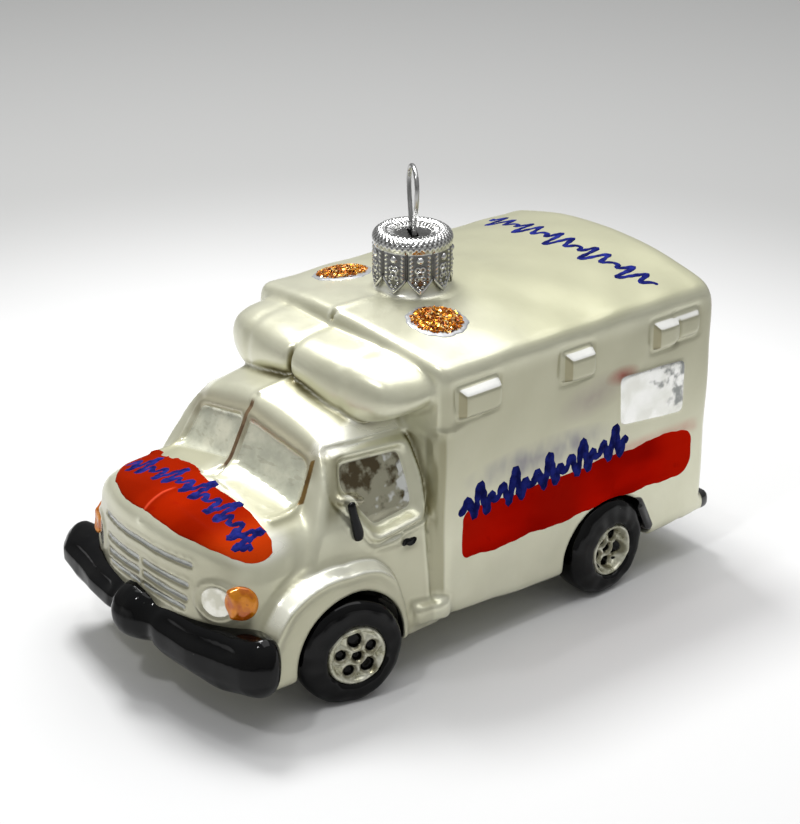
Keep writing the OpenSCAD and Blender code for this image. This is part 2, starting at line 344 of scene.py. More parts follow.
def cab_shape(x, y, z):
    side = (x - cab_side(z)) * 0.93
    top = (z - cab_roof(x, y)) * 0.97
    screen = (-34.4 + 0.545 * (z - 35.0) + 0.21 * x - y) * 0.86
    f = smax(side, top, 1.5)
    f = smax(f, screen, 1.2)
    f = smax(f, -42.0 - y, 2.0)
    return smax(smax(f, 8.0 - z, 2.4), y - 5.0, 1.0)


def hood_top(x, y):
    return interp(y, [-52, -47, -39, -30], [32.3, 33.9, 34.5, 35.0]) - 0.09 * x \
        - 1.9 * (np.clip(x, 0, 22) / 20.0) ** 4


def hood_shape(x, y, z):
    top = (z - hood_top(x, y)) * 0.98
    half = interp(z, [8, 14, 20, 25, 28, 31, 34], [22.2, 22.6, 22.2, 21.4, 20.5, 19.5, 18.0])
    half = half - interp(y, [-52, -47, -42, -33], [1.2, 0.4, 0.0, 0.6])
    side = (x - half) * 0.95
    bow = 5.2 * (np.clip(x, 0, 24) / 20.0) ** 2.2
    front = (-52.0 + bow + interp(z, [8, 20, 31, 34], [0.4, 0.0, 0.3, 1.0]) - y) * 0.93
    f = smax(side, front, 4.5)
    f = smax(f, top, 3.2)
    return smax(smax(f, 9.5 - z, 2.0), y + 28.0, 1.0)


def fender_shape(x, y, z):
    """The bulging wing over the front wheel, with its rolled lip."""
    dy, dz = y - ARCH_F[0], z - ARCH_F[1]
    r = np.sqrt(dy * dy + dz * dz)
    turn = np.degrees(np.arctan2(dy, dz))
    ridge = interp(turn, [-70, -45, -21, 0, 25, 41, 56, 75, 95],
                   [17.5, 17.5, 16.2, 15.0, 15.2, 14.5, 13.2, 12.4, 12.2])
    lip = 25.3 - 2.9 * ramp(r, ridge - 0.6, ridge + 0.7) + 0.35 * bump(r - ridge + 1.1, 0.9)
    f = smax((x - lip) * 0.75, r - ridge - 1.1, 1.0)
    return smax(f, 7.4 - z, 1.4)


def bar_shape(x, y, z):
    s = x / 23.4
    top = 54.0 - 4.0 * s ** 4 + 0.1 * (y + 16.0)
    low = 46.9 - 2.95 * ramp(x, 0.0, 15.5) + 2.4 * ramp(x, 15.5, 24.0)
    front = -22.6 + 5.4 * s ** 2.4
    f = smax(smax(z - top, (front - y) * 0.95, 5.4), smax(low - z, (front - y) * 0.95, 3.6), 2.0)
    f = smax(f, x - 23.7, 5.0)
    groove = 0.75 * bump(x, 0.5) * ramp(-z, -53.4, -50.5) + 0.25 * bump(x, 0.9)
    f = f + groove + 0.2 * bump(x - 12.2, 1.2)
    return smax(f, y + 6.0, 1.0)


def neck_shape(x, y, z):
    r = np.sqrt(x * x + (y - NECK_Y) ** 2)
    return smax(r - NECK_R, z - 66.6, 0.8)


def box_details(fd):
    """Roof seam and its notch, the roof's front bead, the neck, the lamp blocks and the side window's pad."""
    fd.raise_by(lambda x, y, z: 0.3 * bump(x, 0.8) * ramp(y, -13.5, -12.0) * ramp(-y, 0.0, 4.0),
                (0, -14, 54), (4, 2, 60))
    fd.cut(lambda x, y, z: np.maximum(np.abs(x - 0.2) - 0.75 + 0.25 * (57.6 - z), np.abs(y + 13.0) - 1.3),
           0.25, (0, -16, 54.5), (3, -10, 59))
    fd.raise_by(lambda x, y, z: 0.25 * bump(y + 10.9 + 3.4 * (1 - (x / BOX_X) ** 2), 0.8)
                * ramp(z, 52.0, 53.5) * ramp(-x, -24.0, -21.0), (0, -14, 51), (25, -5, 59))
    fd.add(neck_shape, 2.2, (0, -6, 52), (12, 16, 69))
    for y0, y1, z0, z1, cant, out in LAMP_BLOCKS:
        def block(x, y, z):
            """A block with broad bevels ahead and on top, and steep ones behind and below."""
            d = np.maximum(x - BOX_X, -0.3)
            t = np.clip(d / out, -0.3, 1.2)
            wide = smax(y0 + cant * t - y, z - z1 + 1.3 * t, 0.3)
            steep = smax(y - y1 + 0.35 * t, z0 + 0.5 * t - z, 1.2)
            return smax(smax(wide * 0.75, steep, 0.4), d - out, 0.3)

        def groove(x, y, z):
            """The fine groove round the block's foot."""
            foot = smax(smax(y0 - 0.3 - y, z - z1 - 0.3, 0.5), smax(y - y1 - 0.45, z0 - 0.45 - z, 1.0), 1.0)
            return -0.2 * bump(foot, 0.35) * ramp(x, 24.3, 24.8)
        fd.add(block, 0.15, (21, y0 - 4, z0 - 4), (28, y1 + 4, z1 + 3))
        fd.raise_by(groove, (23, y0 - 3, z0 - 3), (27, y1 + 3, z1 + 3))
    fd.raise_by(lambda x, y, z: 0.2 * bump(z - 42.2, 0.5) * ramp(-y, 4.0, 7.0), (23, -10, 40), (27, -3, 45))
    fd.raise_by(lambda x, y, z: 0.2 * ramp(-quad_dist(y, z, SIDE_WINDOW, 1.6), -0.3, 0.3),
                (23, 27, 27), (27, 50, 45))


def cab_and_feet(fd):
    """Cab, hood, wings and light bar, the step in two parts, and the rear bumper."""
    fd.add(cab_shape, 1.0, (0, -60, 3.5), (28, -4, 52))
    fd.raise_by(lambda x, y, z: 0.3 * bump(x, 0.9), (0, -29, 42), (4, -20, 50))
    fd.add(hood_shape, 2.0, (0, -60, 3.5), (28, -24, 40))
    fd.add(fender_shape, 0.9, (10, -50, 3.5), (28, -10, 30))
    fd.add(bar_shape, 0.9, (0, -30, 38), (28, -3, 60))
    fd.add(lambda x, y, z: smax(smax(np.abs(y + 11.3) - 3.5, np.abs(z - 10.3 + 0.12 * (y + 11.3)) - 1.6, 1.2),
                                x - 25.7, 1.2), 1.5, (15, -18, 4), (28, -6, 15))
    fd.add(lambda x, y, z: smax(smax(np.abs(y + 12.0) - 4.2, np.abs(z - 9.0) - 2.4, 1.6), x - 24.0, 1.6),
           1.0, (15, -19, 4), (28, -6, 15))
    fd.add(lambda x, y, z: smax(smax(np.abs(z - 10.0) - 1.8, y - 55.6, 1.2), x - 24.9, 1.6),
           0.6, (0, 48, 5), (28, 57, 14))


def rear_details(fd):
    """The back: a line between two door leaves, one round them, windows, tail lamp pads and a handle."""
    for relief in (lambda x, z: -0.32 * bump(x, 0.38) * ramp(z, 13.0, 15.0) * ramp(-z, -50.0, -48.0),
                   lambda x, z: -0.28 * bump(smax(x - REAR_DOOR_X, np.abs(z - 31.5) - 17.3, 2.0), 0.42),
                   lambda x, z: 0.3 * bump(quad_dist(x, z, REAR_WINDOW, 2.2) - 0.5, 0.5),
                   lambda x, z: 0.35 * ramp(-np.hypot(x - TAIL_LAMP[0], z - TAIL_LAMP[1]), -1.9, -1.3),
                   lambda x, z: 0.45 * bump(seg_dist(x, z, (2.2, 25.0), (2.2, 29.0)), 0.6)):
        fd.raise_by(lambda x, y, z: relief(x, z) * ramp(y, 51.8, 53.0), (0, 51, 12), (26, 57, 54))


def wheel_housings(fd):
    """The hollows over the wheels, and the mud flap behind the rear wheel."""
    for (yc, zc, r), x0 in ((ARCH_F, 15.0), (ARCH_R, 17.0)):
        fd.cut(lambda x, y, z: smax(np.sqrt((y - yc) ** 2 + (z - zc) ** 2) - r, x0 - x, 1.0),
               0.5, (x0 - 3, yc - 14, 3.5), (28, yc + 14, 23))

    def flap(x, y, z):
        return smax(smax(seg_dist(y, z, (37.2, 14.2), (39.4, 9.6)) - 0.6, x - 25.3, 0.6), 20.0 - x, 0.5)
    fd.add(flap, 0.5, (18, 33, 6), (28, 43, 19))


def windscreen_and_hood(fd):
    """Sunk panes under a bead, the groove of the middle pillar, and the hood's crease."""
    def pane(x, y, z):
        d = quad_dist(x, z, PANE, 1.4)
        return -0.55 * ramp(-d, -0.3, 0.5) + 0.4 * bump(d - 0.75, 0.42)
    fd.raise_by(pane, (0, -38, 30), (19, -24, 45.5))
    fd.raise_by(lambda x, y, z: -0.45 * bump(x, 0.4), (0, -38, 34.5), (3, -25.5, 46.0))
    fd.raise_by(lambda x, y, z: 0.22 * bump(x, 0.6) * ramp(-y, 41.0, 47.0), (0, -55, 30), (4, -38, 37))


def door_details(fd):
    """A sunk window in two beads, two ribs under it, the door's edge, its handle and the mirror's bracket."""
    def window(x, y, z):
        d = quad_dist(y, z, DOOR_WINDOW, 1.4)
        return (0.55 * bump(d - 1.3, 0.6) - 0.85 * ramp(-d, -0.7, 0.25)
                - 0.2 * bump(d - 2.3, 0.35) + 0.22 * bump(d - 2.9, 0.4))

    def edge(x, y, z):
        line = interp(z, [8, 19, 27, 33.5, 39], [-10.2, -10.4, -10.3, -10.0, -10.9])
        return -0.3 * bump(y - line, 0.4) * ramp(z, 11, 13) * ramp(-z, -42, -39)
    fd.raise_by(window, (12, -32, 25), (26, -9.6, 44))
    fd.raise_by(lambda x, y, z: 0.5 * bump(seg_dist(y, z, (-20.8, 26.7), (-12.2, 27.5)), 0.75),
                (16, -25, 25), (27, -10.2, 34))
    fd.raise_by(lambda x, y, z: 0.45 * bump(seg_dist(y, z, (-21.2, 25.0), (-16.6, 24.6)), 0.7),
                (18, -25, 23), (27, -10.2, 30))
    fd.raise_by(edge, (14, -14, 7), (27, -8.6, 43))
    fd.raise_by(lambda x, y, z: -0.4 * bump(np.sqrt((y + 14.6) ** 2 * 0.35 + (z - 23.8) ** 2), 1.25),
                (19, -20, 20), (27, -10.5, 29))

    def bracket(x, y, z):
        return smax(seg_dist(y, z, (-27.2, 34.6), (-23.4, 33.5)) - 0.75, np.abs(x - 20.7) - 1.2, 0.9)
    fd.add(bracket, 0.8, (16, -31, 28), (25, -20, 38))


def nose_details(fd):
    """Four thin sunk grille slots a side, each with a rim, and raised rims round the lamps."""
    for zc, x0, x1, fall in SLOTS:
        def slot(x, y, z):
            d = seg_dist(x, z, (x0, zc), (x1, zc - fall))
            return 0.16 * bump(d - 0.9, 0.35) - 0.26 * ramp(-d, -0.7, -0.2)
        fd.raise_by(slot, (0, -56, zc - 4), (16, -46, zc + 4))

    def lamp(x, y, z):
        lx, ly, lz = NOSE_LAMP
        d = np.sqrt(((x - lx) / 1.1) ** 2 + ((y - ly) / 1.4) ** 2 + (z - lz) ** 2)
        return 0.4 * bump(d - 3.3, 0.5) - 0.15 * ramp(-d, -2.9, -2.2)
    fd.raise_by(lamp, (10, -55, 16), (24, -42, 28))


def build_shell(step):
    """The whole shell as a field, with the neck's bore that the cap covers at rest."""
    fd = Field(step, (0, -56, 3.5), (28, 57, 69))
    fd.add(box_shape, 0.5)
    for section in (box_details, cab_and_feet, rear_details, wheel_housings, windscreen_and_hood,
                    door_details, nose_details):
        section(fd)
    fd.cut(lambda x, y, z: smax(np.sqrt(x ** 2 + (y - NECK_Y) ** 2) - NECK_BORE, NECK_FLOOR - z, 2.0),
           0.3, (0, NECK_Y - 7, NECK_FLOOR - 2), (7, NECK_Y + 7, 69))
    # Slow waviness, as blown glass has.
    fd.raise_by(lambda x, y, z: 0.12 * np.sin(y * 0.23 + z * 0.17 + 0.6) * np.sin(x * 0.19 + 1.3)
                + 0.07 * np.sin(y * 0.51 - z * 0.37) * np.sin(x * 0.33 + 0.4), (0, -60, 0), (30, 60, 60))
    return fd


def shell_object():
    step = 0.42
    fd = build_shell(step)
    f, origin = fd.full()
    verts, quads = surface_net(f, origin, step)
    ob = mesh_object("glass_shell", snapped(f, origin, step, verts), quads)
    decimate(ob, 190000)
    co = coords(ob).astype(np.float64)
    g = gradient(f, origin, step, co)
    open_out = sample(f, origin, step, co + g * 1.6) / 1.6
    thick_in = -sample(f, origin, step, co - g * 1.2) / 1.2
    attribute(ob, "crease", np.clip(1 - open_out, 0, 1))
    attribute(ob, "edge", np.clip(1 - thick_in, 0, 1))
    attribute(ob, "up", np.clip(g[:, 2], 0, 1))
    attribute(ob, "ahead", np.clip(-g[:, 1], 0, 1))
    return ob, (f, origin, step)


# ------------------------------------------------------- thick enamel patches
def enamel_patch(name, shell_field, region, lo, hi, out, sink, step):
    """A closed pad of paint that follows the shell where region is below 0."""
    f, origin, h = shell_field
    xs = np.arange(lo[0], hi[0], step)
    ys = np.arange(lo[1], hi[1], step)
    zs = np.arange(lo[2], hi[2], step)
    gx, gy, gz = np.meshgrid(xs, ys, zs, indexing="ij")
    p = np.stack([gx.ravel(), gy.ravel(), gz.ravel()], 1)
    s = sample(f, origin, h, p).reshape(gx.shape)
    r = region(gx, gy, gz)
    g = smax(smax(s - out, r, 2.2 * out + 0.4), -s - sink, 0.1)
    return surface_net(g, np.array(lo, float), step)


def paint_pad(shell_field, place, nu, nv, height, sink=0.15):
    """A closed layer of paint on the shell; place maps u, v from -1 to 1 onto points near it."""
    u, v = np.meshgrid(np.sin(np.linspace(-1, 1, nu) * math.pi / 2), np.linspace(-1, 1, nv), indexing="ij")
    base, g = drop_on_shell(shell_field, place(u.ravel(), v.ravel()))
    lift = height * np.sqrt((1 - np.abs(u) ** 40) * (1 - np.abs(v) ** 14)).ravel() - 0.02
    verts = np.concatenate([base + g * lift[:, None], base - g * sink])
    i, j = np.meshgrid(np.arange(nu - 1), np.arange(nv - 1), indexing="ij")
    a = (i * nv + j).ravel()
    top = np.stack([a, a + nv, a + nv + 1, a + 1], 1)
    n = nu * nv
    rim = np.concatenate([np.arange(nv), np.arange(1, nu) * nv + nv - 1,
                          (nu - 1) * nv + np.arange(nv - 2, -1, -1), np.arange(nu - 2, 0, -1) * nv])
    nxt = np.roll(rim, -1)
    return verts, np.concatenate([top, top[:, ::-1] + n, np.stack([rim, nxt, nxt + n, rim + n], 1)])


def mirrored(verts, faces):
    """A mesh and its mirror image across X = 0, as one mesh."""
    return join_parts([(verts, faces), (verts * np.array([-1.0, 1.0, 1.0]), faces[:, ::-1])])


def drop_on_shell(shell_field, p, rounds=5):
    """Move points onto the shell's surface."""
    f, origin, h = shell_field
    p = p.astype(float).copy()
    for _ in range(rounds):
        g = gradient(f, origin, h, p)
        p -= g * np.clip(sample(f, origin, h, p), -1.0, 1.0)[:, None]
    return p, gradient(f, origin, h, p)


def smooth_path(points, spacing):
    """Points along a polyline whose corners are rounded, evenly spaced."""
    pts = np.array(points, float)
    for _ in range(3):
        q = 0.75 * pts[:-1] + 0.25 * pts[1:]
        r = 0.25 * pts[:-1] + 0.75 * pts[1:]
        mid = np.empty((len(q) * 2, pts.shape[1]))
        mid[0::2], mid[1::2] = q, r
        pts = np.concatenate([pts[:1], mid, pts[-1:]])
    d = lengths(pts)
    n = max(int(d[-1] / spacing), 4)
    s = np.linspace(0, d[-1], n + 1)
    return np.stack([np.interp(s, d, pts[:, k]) for k in range(pts.shape[1])], 1)


def lengths(pts):
    """How far each point lies along its line."""
    return np.concatenate([[0], np.cumsum(np.linalg.norm(np.diff(pts, axis=0), axis=1))])


def brush_stroke(shell_field, path, width, height, rng):
    """A raised, round-ended stroke of paint along points near the shell."""
    base, normal = drop_on_shell(shell_field, path)
    side = unit(np.cross(unit(np.gradient(base, axis=0)), normal))
    d = lengths(base)
    ends = np.clip(np.minimum(d, d[-1] - d) / (width * 0.5), 0, 1)
    taper = np.sqrt(np.clip(1 - (1 - ends) ** 2, 0.02, 1))
    wobble = 1 + 0.14 * np.sin(d * 1.7 + rng.uniform(0, 6)) + 0.08 * np.sin(d * 4.1 + rng.uniform(0, 6))
    half = width * 0.5 * taper * wobble
    # Each station is a ring: one point sunk in the shell, then nine over the stroke's round top.
    rings = [base - normal * 0.12]
    for k, t in enumerate(np.linspace(-1, 1, 9)):
        p, up = drop_on_shell(shell_field, base + side * (half * t)[:, None], 2)
        lift = height * (1 - t * t) ** 0.5 * taper * (1 + 0.2 * np.sin(d * 2.9 + k)) - 0.05
        rings.append(p + up * lift[:, None])
    n, sides = len(base), len(rings)
    last, over = (n - 1) * sides, np.arange(1, sides)
    faces = [flipped(ring_quads(n, sides)), fan(0, over[::-1]), fan(last, over + last)]
    return np.stack(rings, 1).reshape(-1, 3), np.concatenate(faces)


def join_parts(parts):
    """Join (verts, quads) pairs into one pair."""
    starts = np.cumsum([0] + [len(v) for v, _ in parts])
    return np.concatenate([v for v, _ in parts]), np.concatenate([f + n for (_, f), n in zip(parts, starts)])


# -------------------------------------------------------------- black bumper
def bumper_shape(x, y, z):
    front = interp(x, [0, 1.4, 2.8, 4.4, 8, 14, 20, 25, 29.5, 31.5],
                   [-55.4, -55.2, -54.6, -53.9, -53.8, -53.3, -52.3, -51.0, -48.6, -47.2])
    rake = interp(z, [6.0, 8.5, 11, 14, 16, 19.5], [2.4, 0.7, 0.1, 0.2, 0.9, 2.0])
    top = interp(x, [0, 2.2, 3.8, 6, 10, 20, 26, 29.5], [18.8, 18.5, 17.6, 17.3, 17.6, 17.8, 18.8, 18.0])
    low = interp(x, [0, 2.0, 3.6, 6.0, 12, 20, 26, 29.5], [8.9, 9.0, 8.9, 8.5, 7.5, 6.9, 7.3, 8.8])
    f = smax((front + rake - y) * 0.9, z - top, 3.2)
    f = smax(f, low - z, 4.4)
    f = smax(f, x - 31.3, 6.5)
    back_y = interp(x, [0, 18, 22, 26, 29.5, 31.5], [-45.0, -43.5, -42.8, -43.6, -45.0, -46.0])
    return smax(f, y - back_y, 4.0)


def bumper_object():
    step = 0.34
    fd = Field(step, (0, -59.0, 3.8), (32.5, -39, 22.0))
    fd.add(bumper_shape, 0.3)
    # The rolled top edge with a channel under it, and slow runs of thick enamel.
    fd.raise_by(lambda x, y, z: -0.5 * bump(z - 15.2 - 0.02 * x, 0.9) * ramp(x, 5, 9) * ramp(-x, -25, -21)
                * ramp(-y, 47, 49.5), (0, -60, 10), (31, -40, 20))
    fd.raise_by(lambda x, y, z: 0.14 * np.sin(x * 0.55 + 0.4) * np.sin(z * 0.5 + 1.0) + 0 * y,
                (0, -60, 0), (33, -30, 30))
    # Facets of the poured knob at the middle.
    fd.raise_by(lambda x, y, z: -0.45 * bump(x - 4.8, 1.2) * ramp(-y, 49.0, 52.0) + 0.3 * bump(x - 2.0, 1.2)
                * bump(z - 16.5, 1.6), (0, -60, 5), (8, -45, 21))
    f, origin = fd.full()
    verts, quads = surface_net(f, origin, step)
    verts = snapped(f, origin, step, verts)
    # The two halves sag a little differently, as poured enamel does.
    x = verts[:, 0]
    far = ramp(-x, -2.0, 6.0) * np.clip((17.0 - verts[:, 2]) / 9.0, 0, 1)
    verts = verts + np.stack([-1.5 * bump(x, 7.0), 0.12 * np.sin(x * 0.31 + 0.5) - 0.9 * bump(x, 8.0),
                              0.15 * np.sin(x * 0.22 + 0.8) + 2.8 * far], 1)
    return mesh_object("bumper_enamel", verts, quads)


# -------------------------------------------------------------------- wheels


def place_wheel(v, spot, side):
    """A wheel's points turned by its toe and set in its place; side is 1 or -1."""
    x, y, z, toe = spot[:4]
    c, s = math.cos(math.radians(toe)), -math.sin(math.radians(toe))
    out = np.stack([v[:, 0] * c - v[:, 1] * s + x, v[:, 0] * s + v[:, 1] * c + y, v[:, 2] + z], 1)
    return out * np.array([side, 1, 1])


# Middle of a wheel's face (x, y, z), toe in degrees, radius of tyre and disc, turn of the holes in radians,
# the disc's shift in y and z, and the depth of its dish.
FRONT = (26.1, -29.0, 9.3, 13.0, 9.3, 5.4, 0.43, 0.95, -0.7, 0.3)
REAR = (25.4, 29.6, 9.0, -4.0, 9.0, 4.9, 0.95, 0.9, -1.1, 1.7)
# The tyre's profile as (radius, x), for a tyre and a disc of these radii.
TYRE_R, DISC_R = 8.3, 5.15
TYRE_PROFILE = [(4.6, -1.3), (4.9, -0.75), (5.15, -0.25), (5.5, 0.02), (6.1, 0.12), (6.9, 0.1), (7.5, -0.12),
                (7.95, -0.5), (8.2, -1.0), (8.3, -1.8), (8.3, -3.4), (8.2, -5.0), (7.8, -6.2), (6.0, -7.0),
                (0.6, -7.0)]
FIFTH = 2 * math.pi / 5


def wheel_objects(name, spot, side, seed):
    """A wheel's lumpy tyre, and its dished disc with five holes round a middle one."""
    outer, rim, turn, shift_y, shift_z, dish = spot[4:]
    shift = np.array([[0.0, shift_y, shift_z]])
    ph = np.random.default_rng(seed).uniform(0, 6.28, 6)
    # The tyre: its profile in thirds of each stretch, closed through the middle of the wheel.
    at = np.arange(3 * len(TYRE_PROFILE) - 2) / 3
    n = 96
    a = np.arange(n) * 2 * math.pi / n
    r, x = (np.interp(at, range(len(TYRE_PROFILE)), c) for c in zip(*TYRE_PROFILE))
    r = rim + (r - DISC_R) * (outer - rim) / (TYRE_R - DISC_R)
    r, x = (np.append(c, c[0])[:, None] + 0 * a for c in (r, x))
    lumps = 0.12 * np.sin(3 * a + ph[0]) + 0.08 * np.sin(7 * a + ph[1])
    r = r + np.clip((rim + 1.05 - r) / 1.4, 0, 1) * lumps
    x = x + 0.09 * np.sin(5 * a + ph[2]) * np.sin(r * 1.3) + 0.05 * np.sin(13 * a + ph[3])
    r = r + 0.05 * np.sin(9 * a + ph[4]) * (r > 7)
    v = np.stack([x, r * np.sin(a), r * np.cos(a)], -1).reshape(-1, 3)
    v = v + np.clip((outer - r.reshape(-1, 1)) / (outer - rim), 0, 1) * shift
    f = ring_quads(len(r), n)[:, ::-side]
    tyre = mesh_object("tyre_" + name, place_wheel(v, spot, side), f)
    # The disc, with a rim at 4.55 mm, a shallow groove inside it and a raised hub.
    circle = 2.75
    holes = [(circle * math.cos(turn + k * FIFTH), circle * math.sin(turn + k * FIFTH),
              0.98 + 0.18 * math.sin(k * 2.1 + ph[5])) for k in range(5)] + [(0.0, 0.0, 0.8)]
    rows, n = 44, 120
    a = np.arange(n) * 2 * math.pi / n
    rr = np.linspace(0.0, DISC_R, rows)[:, None] + 0 * a
    py, pz = rr * np.sin(a), rr * np.cos(a)
    height = (-0.62 - dish * (1 - ramp(rr, 3.3, 4.7)) + 0.42 * bump(rr - 4.55, 0.42)
              - 0.18 * bump(rr - 3.95, 0.3) + 0.3 * bump(rr, 2.6) - 0.5 * ramp(rr, 4.85, DISC_R))
    near = np.full(rr.shape, 9.0)
    for hy, hz, hr in holes:
        d = np.sqrt((py - hy) ** 2 + (pz - hz) ** 2)
        height = height - 0.55 * ramp(-d, -hr - 0.1, -hr + 0.35) + 0.42 * bump(d - hr - 0.42, 0.35)
        near = np.minimum(near, d - hr)
    back_x = -1.9 - dish
    front = np.stack([height, py, pz], -1).reshape(-1, 3)
    back = np.stack([back_x + 0 * a, py[-1], pz[-1]], -1)
    v = np.concatenate([front, back, [[back_x, 0, 0]]]) * np.array([1.0, rim / DISC_R, rim / DISC_R]) + shift
    centre = (rows + 1) * n
    f = np.concatenate([ring_quads(rows + 1, n), fan(centre, ring(n, centre - n)[::-1])])[:, ::-side]
    disc = mesh_object("wheel_disc_" + name, place_wheel(v, spot, side), f)
    attribute(disc, "hole", np.concatenate([near.ravel(), np.full(n + 1, 9.0)]))
    return tyre, disc


# ---------------------------------------------------------------------- cap
PETALS = 9
CAP_R, SKIRT_R = 6.94, 6.62
SLOT_TURN, CAP_TURN = math.radians(-28.5), math.radians(-8.5)


def cap_skirt(z0, z1, th):
    """The petals' rows of (radius, height), with stamped ribs, scrolls and beads."""
    u = ((th / (2 * math.pi / PETALS)) % 1.0) * 2 - 1
    au, s = np.abs(u), u * CAP_R * math.pi / PETALS
    z_low = z0 + 2.5 * au ** 1.15
    beads = [(0.0, z1 - 3.5, 0.62, 0.42)]
    beads += [(at, z0 + up, 0.27, 0.26) for at, up in ((0.0, 0.95), (0.42, 1.5), (0.8, 2.15))]
    scrolls = ((0.42, 4.55, 0.42, 0.13), (0.0, 3.75, 0.5, 0.13), (0.55, 3.0, 0.33, 0.12))
    rows = []
    for t in np.linspace(0, 1, 92):
        z = z_low + (z1 - 2.6 - z_low) * t
        twist = 0.5 + 0.5 * np.sin(z * 8.5 + np.sign(u) * s * 5.0)
        rib = bump((au - 0.66) * CAP_R * math.pi / PETALS, 0.22)
        rel = -0.32 * bump(au - 1.0, 0.07) + rib * (0.05 + 0.2 * twist) * ramp(z, z0 + 2.2, z0 + 2.9)
        rel = rel + 0.2 * bump((z - z_low) * 0.75 - 0.28, 0.2) * (au < 0.97)
        for at, up, radius, high in beads:
            d = np.hypot(np.abs(s) - at, z - up)
            rel = rel + high * np.sqrt(np.clip(1 - (d / radius) ** 2, 0, 1))
        for at, up, radius, wide in scrolls:
            rel = rel + 0.17 * bump(np.hypot(np.abs(s) - at, z - z0 - up) - radius, wide)
        rows.append((SKIRT_R + rel, z))
    return rows, z_low


def cap_object():
    """The crown cap, as rows of (radius, height) from the petals' tips over the top and back inside."""
    lo, hi, middle = corners_mm(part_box("cap"))
    z0, z1 = lo[2], hi[2]
    n = 44 * PETALS
    th = np.arange(n) * 2 * math.pi / n
    rows, z_low = cap_skirt(z0, z1, th)
    skirt, skirt_r, shade = len(rows), rows[-1][0], []
    # The knurled roll over the shoulder.
    roll = 1.55
    for t in np.linspace(0, 1, 30)[1:]:
        a = math.radians(-38 + t * 158)
        knurl = 0.07 * np.sin(th * 45) * (1 if int(t * 9) % 2 else -1) * min(1.0, 3 * t) * (t < 0.95)
        w = min(t / 0.25, 1.0)
        r = CAP_R - 0.12 - roll + (roll + knurl) * math.cos(a)
        z = z1 - roll + (roll + knurl) * math.sin(a)
        rows.append((skirt_r * (1 - w) + r * w, (z1 - 2.6 + 0.6 * w) * (1 - w) + z * w))
        shade.append(0.1 + 1.4 * knurl)
    # The fluted slope down to the flat disc, and the disc, narrowed in steps to the slot.
    slope_r, slope_z = rows[-1][0].mean(), rows[-1][1].mean()
    z_disc = z1 - 0.8
    for t in np.linspace(0, 1, 18)[1:]:
        flute = np.sin(th * 36) * math.sin(math.pi * min(t * 1.1, 1.0))
        z = slope_z + (z_disc - slope_z) * t ** 0.8
        rows.append((slope_r + (3.0 - slope_r) * t,
                     z + 0.16 * flute + 0.1 * math.sin(math.pi * t) * np.sin(th * 7) ** 2))
        shade.append(0.04 + 0.12 * flute)
    cos, sin = np.abs(np.cos(th + CAP_TURN - SLOT_TURN)), np.abs(np.sin(th + CAP_TURN - SLOT_TURN))
    slot = np.minimum(2.15 / np.maximum(cos, 1e-6), 0.72 / np.maximum(sin, 1e-6))
    rows += [(3.0 * (1 - t) + slot * t, z_disc + 0.05 * math.sin(math.pi * t))
             for t in np.linspace(0, 1, 10)[1:]]
    rows += [(slot, z_disc - 0.3), (3.2, z_disc - 0.35), (4.2, z1 - 0.55), (5.3, z1 - 0.5), (6.1, z1 - 1.0),
             (6.5, z1 - 1.8)]
    rows += [(SKIRT_R - 0.28, z_low + (z1 - 2.4 - z_low) * t) for t in np.linspace(1, 0, 12)]
    r, z = (np.array([c + 0 * th for c in column]) for column in zip(*rows))
    turn = th + CAP_TURN
    v = np.stack([r * np.cos(turn), r * np.sin(turn) + middle[1], z], -1).reshape(-1, 3)
    ob = mesh_object("crown_cap", v, flipped(ring_quads(len(rows), n, looped=True)))
    relief = np.full((len(rows), n), 0.02)
    relief[:skirt] = r[:skirt] - SKIRT_R
    relief[skirt:skirt + len(shade)] = shade
    attribute(ob, "relief", relief.ravel())
    return ob


# --------------------------------------------------------------------- wire
def tube(path, radius, sides):
    """A closed tube along 3-D points that lie in a plane."""
    p = np.array(path, float)
    t = unit(np.gradient(p, axis=0))
    across = unit(np.cross(p[-1] - p[0], p[len(p) // 2] - p[0]))
    across = unit(across - t * (t @ across)[:, None])
    a = (np.arange(sides) * 2 * math.pi / sides)[None, :, None]
    rings = p[:, None] + radius * (np.cos(a) * across[:, None] + np.sin(a) * np.cross(t, across)[:, None])
    tips = [p[0] - t[0] * radius * 0.4, p[-1] + t[-1] * radius * 0.4]
    end = len(p) * sides
    faces = [flipped(ring_quads(len(p), sides)), fan(end, ring(sides)[::-1]),
             fan(end + 1, ring(sides, end - sides))]
    return np.concatenate([rings.reshape(-1, 3), tips]), np.concatenate(faces)


def wire_object():
    """The spring wire: a loop above the cap, pinched in its slot, and two legs spread inside the neck."""
    lo, hi, middle = corners_mm(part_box("hanger_wire"))
    cap_top = corners_mm(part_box("cap"))[1][2]
    wire, arc, pinch, slot_z = 0.4, 3.2, 1.4, -0.8
    top = hi[2] - cap_top - wire - arc
    straight, foot, leg = slot_z - 3.1, 4.5, cap_top - lo[2]

    def ease(t):
        return (1 - math.cos(math.pi * t)) / 2
    half = [(arc * math.cos(a), top + arc * math.sin(a)) for a in np.radians(np.arange(90, -1, -7.5))]
    half += [(arc + (pinch - arc) * ease(t), top * (1 - t) + (slot_z + 0.4) * t)
             for t in np.linspace(0, 1, 13)[1:]]
    half += [(pinch, straight)]
    half += [(pinch + (foot - pinch) * ease(t), straight - (leg + straight) * 0.6 * t)
             for t in np.linspace(0, 1, 9)[1:]]
    half += [(foot, -leg)]
    turn = math.radians(-28.0)
    path = [(a * math.cos(turn), middle[1] + a * math.sin(turn), cap_top + b)
            for a, b in [(-a, b) for a, b in half[:0:-1]] + half]
    return mesh_object("spring_wire", *tube(path, wire, 20))


